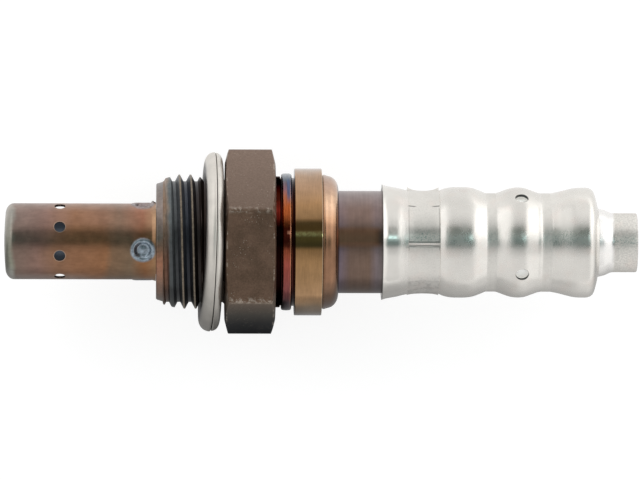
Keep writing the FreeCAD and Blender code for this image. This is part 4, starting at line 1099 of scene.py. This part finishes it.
def crimp_warp(given):
    """Eight jaw marks with the sheet thrown up between them"""
    front, back = CRIMP
    middle, half = (front + back) / 2, (back - front) / 2
    height, waist_radius = given.ridge / MM, 6.9

    def warp(xs, rs, around):
        share_along = np.clip((xs - middle) / half, -1.0, 1.0)
        inside = (xs > front + 0.005) & (xs < back - 0.005)
        lift = np.zeros_like(rs)
        crown = np.zeros_like(rs)
        ends = np.abs(share_along) ** 3
        for turn, at_ends, at_middle, width in RIDGES:
            off = (around - math.radians(turn) + math.pi) % FULL_TURN - math.pi
            arms = off * waist_radius
            size = at_middle + (at_ends - at_middle) * ends
            lift += height * size * np.exp(-((arms / (0.13 * width)) ** 2))
            lift -= 0.03 * size * np.exp(-(((np.abs(arms) - 0.36) / 0.10) ** 2))
            crown += 0.5 + 0.5 * np.cos(np.clip(off * 8, -math.pi, math.pi))
        change = np.where(inside, lift + 0.05 * (crown - 1.0) * (1 - ends), 0.0)
        return xs, rs + change

    return warp


# Operators
class SENSOR_OT_protector(bpy.types.Operator):
    """Staked protector tube with its ring of gas holes"""

    bl_idname = "sensor.protector"
    bl_label = "Protector Tube"

    def execute(self, context):
        given = context.scene.sensor_protector
        finish = protector_finish(given)
        outline = protector_outline(given)
        piece = wheel("protector_tube", outline, even_turns(288), stake_warp(given))
        shaded(piece.data)
        grown(
            piece,
            hole_tree(),
            Count=given.hole_count,
            Station=given.hole_station,
            Radius=given.hole_radius,
            First_Turn=math.pi / given.hole_count,
            Inner_Reach=given.radius * 0.86,
            Outer_Reach=given.radius * 1.2,
            Material=finish,
        )
        place_piece(piece, "outer_protector", 40.0)
        return {"FINISHED"}


class SENSOR_OT_shell(bpy.types.Operator):
    """Shell body with hexagon, bead, collar and rolled lip, and the screw thread round it"""

    bl_idname = "sensor.shell"
    bl_label = "Screwed Shell"

    def execute(self, context):
        given = context.scene.sensor_shell
        looks = (nose_finish, thread_finish, hexagon_finish, bead_finish, collar_finish, lip_finish)
        materials = [look(given) for look in looks]
        body = build_shell_body(given, materials)
        place_piece(body, "metal_shell", 30.0)
        thread = added("shell_thread", bpy.data.meshes.new("shell_thread"))
        pitch = given.pitch / MM
        pitches = 5
        grown(
            thread,
            thread_tree(),
            Start=given.crest_station / MM - pitch * pitches / 2,
            Pitch=pitch,
            Root_Radius=given.root_radius / MM,
            Crest_Radius=given.thread_radius / MM,
            Rows=16 * pitches + 4,
            Material=materials[1],
        )
        place_piece(thread, "metal_shell", 30.0, stands_for=False)
        return {"FINISHED"}


class SENSOR_OT_gasket(bpy.types.Operator):
    """Folded gasket that hangs a little askew on the neck"""

    bl_idname = "sensor.gasket"
    bl_label = "Folded Gasket"

    def execute(self, context):
        given = context.scene.sensor_gasket
        extra = given.swelling / given.thickness

        def warp(xs, rs, around):
            low = np.clip(-np.sin(around), 0, 1) ** 2
            ripple = 0.02 * np.sin(3 * around + 0.6)
            return xs * (1 + extra * low) - 0.12 * low, rs + ripple * (rs > 11)

        def seated(points):
            up, near = math.radians(-1.2), math.radians(2.0)
            x, y, z = points.T
            x, y = x * math.cos(up) - y * math.sin(up), x * math.sin(up) + y * math.cos(up)
            x, z = x * math.cos(near) + z * math.sin(near), z * math.cos(near) - x * math.sin(near)
            return np.stack([x - 1.75, y, z - 0.5], -1)

        piece = wheel("folded_gasket", gasket_outline(given), even_turns(240), warp, seated)
        piece.data.materials.append(gasket_finish(given))
        place_piece(piece, "seat_gasket", 40.0)
        return {"FINISHED"}


class SENSOR_OT_sleeve(bpy.types.Operator):
    """Bright sleeve with its jaw crimp, swells, vents and drawn tail"""

    bl_idname = "sensor.sleeve"
    bl_label = "Outer Sleeve"

    def execute(self, context):
        given = context.scene.sensor_sleeve
        finish = sleeve_finish(given)
        piece = wheel("crimped_sleeve", sleeve_outline(given), sleeve_turns(), crimp_warp(given))
        shaded(piece.data)
        grown(
            piece,
            hole_tree(),
            Count=given.vent_count,
            Station=given.vent_station,
            Radius=given.vent_radius,
            First_Turn=given.vent_turn,
            Inner_Reach=0.0066,
            Outer_Reach=0.009,
            Material=finish,
        )
        place_piece(piece, "outer_sleeve", 30.0)
        return {"FINISHED"}


class SENSOR_OT_inner_pieces(bpy.types.Operator):
    """Finishes of the casing and of the pieces inside, on their own solids"""

    bl_idname = "sensor.inner_pieces"
    bl_label = "Inner Pieces"

    def execute(self, context):
        ceramic = plain_finish("fired_alumina", (226, 225, 220), 2.0, 0.04, 0.01, Roughness=0.5)
        electrode = plain_finish("grey_electrode", (196, 193, 184), 2.4, 0.08, 0.012, Roughness=0.55)
        talc = plain_finish("pressed_talc", (214, 212, 206), 0.8, 0.10, 0.03, Roughness=0.8)
        metal = {"Metallic": 1.0, "Roughness": 0.38}
        soft = plain_finish("soft_sheet", (170, 168, 162), 1.5, 0.10, 0.01, **metal)
        metal = {"Metallic": 1.0, "Roughness": 0.24}
        spring = plain_finish("spring_sheet", (196, 194, 188), 1.2, 0.06, 0.006, **metal)
        dim_glow = {"Emission_Color": (52, 57, 64), "Emission_Strength": 0.64}
        metal = {"Metallic": 1.0, "Roughness": 0.5}
        liner = plain_finish("dark_liner", (78, 84, 92), 2.0, 0.15, 0.01, **metal, **dim_glow)
        glow = {"Emission_Color": (250, 250, 248), "Emission_Strength": 0.36}
        porous = plain_finish("porous_tube", (236, 236, 232), 0.5, 0.06, 0.03, Roughness=0.7, **glow)
        terminals = ["heater_terminal_a", "heater_terminal_b", "collar_terminal", "plug_terminal"]
        finishes = [
            (ceramic, ["heater_rod", "support_ring", "insulating_bush", "terminal_block"]),
            (electrode, ["sensing_element"]),
            (talc, ["talc_filler"]),
            (soft, ["front_packing", "element_cushion", "squeeze_ring"]),
            (spring, ["block_clip", *terminals]),
            (liner, ["inner_protector"]),
            (porous, ["vent_filter"]),
            (casing_finish(context.scene.sensor_sleeve), ["inner_casing"]),
            (grommet_finish(), ["lead_grommet"]),
        ]
        for finish, names in finishes:
            for name in names:
                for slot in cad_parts[name].material_slots:
                    slot.material = finish
        return {"FINISHED"}


class SENSOR_OT_stage(bpy.types.Operator):
    """Pale floor, soft surroundings, two lamps and the camera"""

    bl_idname = "sensor.stage"
    bl_label = "Studio Stage"

    def execute(self, context):
        given = context.scene.sensor_stage
        self.make_floor(given)
        self.make_world(given)
        self.make_lamp("soft_box_right", (0.40, 0.42, 0.42), (0.40, 0.50), 0.8)
        self.make_lamp("soft_box_left", (-0.44, 0.30, 0.44), (0.35, 0.45), 0.4)
        self.make_camera(given)
        context.scene.view_settings.view_transform = "Standard"
        return {"FINISHED"}

    def make_floor(self, given):
        level = -0.01258
        size = 1.6
        corners = [(-size, -size, level), (size, -size, level), (size, size, level), (-size, size, level)]
        mesh = bpy.data.meshes.new("pale_floor")
        mesh.from_pydata(corners, [], [(0, 1, 2, 3)])
        floor = added("pale_floor", mesh)
        material = bpy.data.materials.new("pale_floor")
        material.use_nodes = True
        board = Board(material.node_tree)
        path = board.outputs("ShaderNodeLightPath")
        along, across, _ = board.split(board.add("ShaderNodeTexCoord", output="Object"))
        # Seen in reflections, the floor is painted: darker on the -Y side and darkest near the sensor,
        # with a painted shadow patch beside the hexagon, and brighter on the +Y side.
        sides = across.rise(-0.008, 0.008)
        far = across.rise(-0.04, -0.006, 0.58, 0.36) + across.rise(-0.35, -0.05, 0.28, 0)
        far = far * along.rise(0.028, 0.056, 1, 1.4)
        shade = along.window(-0.001, 0.0085, 0.004) * across.window(-0.04, -0.012, 0.006)
        far = far * (1 - shade * 0.85)
        beyond = along - across * 0.5
        bonus = beyond.rise(0, 0.03) * across.rise(0.02, 0.09) * 0.44
        near = sides.rise(0, 1, far, bonus + 1, "LINEAR")
        lit = board.add("ShaderNodeBsdfDiffuse", {0: given.floor_tint})
        faint = board.add("ShaderNodeBsdfDiffuse", {0: (150, 150, 150)})
        glow = board.add("ShaderNodeEmission", {0: WHITE, 1: 0.79})
        pale = board.add("ShaderNodeAddShader", {0: faint, 1: glow})
        mirrored = board.add("ShaderNodeEmission", {0: WHITE, 1: near})
        seen = path["Is Camera Ray"].max(path["Is Transmission Ray"])
        mixed = board.add("ShaderNodeMixShader", {0: seen, 1: lit, 2: pale})
        mixed = board.add("ShaderNodeMixShader", {0: path["Is Glossy Ray"], 1: mixed, 2: mirrored})
        board.node("ShaderNodeOutputMaterial", {0: mixed})
        mesh.materials.append(material)

    def make_world(self, given):
        world = bpy.data.worlds.new("studio")
        bpy.context.scene.world = world
        world.use_nodes = True
        board = Board(world.node_tree)
        way = board.add("ShaderNodeTexCoord", output="Generated")
        dx, dy, dz = board.split(way)
        up_lean = board.math("ARCTAN2", dy, dz)
        side_lean = board.math("ARCTAN2", dx, dz)
        low = up_lean.window(-0.175, 0.18, 0.07) * side_lean.window(-0.56, 0.62, 0.1)
        high = up_lean.window(0.06, 0.59, 0.07) * side_lean.window(-0.54, 0.46, 0.12)
        strip = low.max(high)
        line = up_lean.window(0.17, 0.3, 0.04) * side_lean.window(-0.5, 0.5, 0.1) * 0.15
        spot = up_lean.window(0.14, 0.215, 0.02) * side_lean.window(0.25, 0.42, 0.03)
        upper = dy.rise(-0.9, 0.5, 0.98, 1) * dy.rise(0.6, 1, 1, 1.14)
        halo = up_lean.rise(-0.66, -0.18, 0, 0.4) * up_lean.rise(-0.1, 0.1, 1, 0)
        over = up_lean.rise(0.55, 1.1, 0.22, 0) * up_lean.rise(0.1, 0.4)
        near = abs(side_lean).rise(0.35, 0.85, 1, 0)
        halo = (halo + over) * near
        upper = upper * (1 - halo)
        right = dx.window(0.46, 0.9, 0.09) * dy.rise(-0.05, 0.25, 0.3, 0.95)
        left = dx.window(-0.78, -0.34, 0.1) * dy.rise(-0.05, 0.25, 0.06, 0.55)
        level = (upper + right + left) * given.ceiling
        dark = strip * (1 - line)
        faded = up_lean.rise(0.2, 0.36, 1, 0.94)
        red = 1 - dark * faded * 0.83
        green = 1 - dark * up_lean.rise(0.2, 0.36, 1, 0.98) * 0.755
        blue = 1 - dark * 0.765
        red = spot * 1.8 + red * level
        green = spot * 2.7 + green * level
        shade = board.join(red, green, spot * 2.7 + blue * level)
        path = board.outputs("ShaderNodeLightPath")
        lit = board.add("ShaderNodeBackground", {0: shade, 1: 1})
        white = board.add("ShaderNodeBackground", {0: WHITE, 1: 1})
        seen = path["Is Camera Ray"]
        mixed = board.add("ShaderNodeMixShader", {0: seen, 1: lit, 2: white})
        board.node("ShaderNodeOutputWorld", {0: mixed})

    def make_lamp(self, name, place, size, power):
        light = bpy.data.lights.new(name, "AREA")
        light.shape = "RECTANGLE"
        light.size, light.size_y = size
        light.energy = power
        lamp = added(name, light)
        lamp.visible_glossy = False
        aim = (0.013, 0, 0)
        dx, dy, dz = (p - a for p, a in zip(place, aim))
        lamp.location = place
        lamp.rotation_euler = (0, math.acos(dz / math.hypot(dx, dy, dz)), math.atan2(dy, dx))

    def make_camera(self, given):
        data = bpy.data.cameras.new("photo_camera")
        data.lens = given.lens
        data.clip_end = 10
        camera = added("photo_camera", data)
        lean = math.radians(1.3)
        roll = math.radians(0.15)
        aim_x, aim_y, far = 0.012805, 0.0002, given.distance
        camera.location = (aim_x - far * math.sin(lean), aim_y, far * math.cos(lean))
        camera.rotation_euler = (0, -lean, roll)
        bpy.context.scene.camera = camera


class SENSOR_PT_panel(bpy.types.Panel):
    """Lists the pieces of the sensor and their settings"""

    bl_idname = "SENSOR_PT_panel"
    bl_label = "Oxygen Sensor"
    bl_space_type = "VIEW_3D"
    bl_region_type = "UI"
    bl_category = "Oxygen Sensor"

    def draw(self, context):
        for operator, settings in PARTS:
            box = self.layout.box()
            box.operator(operator.bl_idname)
            if settings:
                group = getattr(context.scene, "sensor_" + settings)
                for key in group.__annotations__:
                    box.prop(group, key)


PARTS = [
    (SENSOR_OT_protector, "protector"),
    (SENSOR_OT_shell, "shell"),
    (SENSOR_OT_gasket, "gasket"),
    (SENSOR_OT_sleeve, "sleeve"),
    (SENSOR_OT_inner_pieces, None),
    (SENSOR_OT_stage, "stage"),
]
GROUPS = {
    "sensor_protector": ProtectorSettings,
    "sensor_shell": ShellSettings,
    "sensor_gasket": GasketSettings,
    "sensor_sleeve": SleeveSettings,
    "sensor_stage": StageSettings,
}


def register():
    for name, group in GROUPS.items():
        bpy.utils.register_class(group)
        setattr(bpy.types.Scene, name, bpy.props.PointerProperty(type=group))
    for operator, _ in PARTS:
        bpy.utils.register_class(operator)
    bpy.utils.register_class(SENSOR_PT_panel)


def unregister():
    bpy.utils.unregister_class(SENSOR_PT_panel)
    for operator, _ in reversed(PARTS):
        bpy.utils.unregister_class(operator)
    for name, group in GROUPS.items():
        delattr(bpy.types.Scene, name)
        bpy.utils.unregister_class(group)


def main():
    register()
    for operator, _ in PARTS:
        family, name = operator.bl_idname.split(".")
        getattr(getattr(bpy.ops, family), name)()


if __name__ == "__main__":
    main()
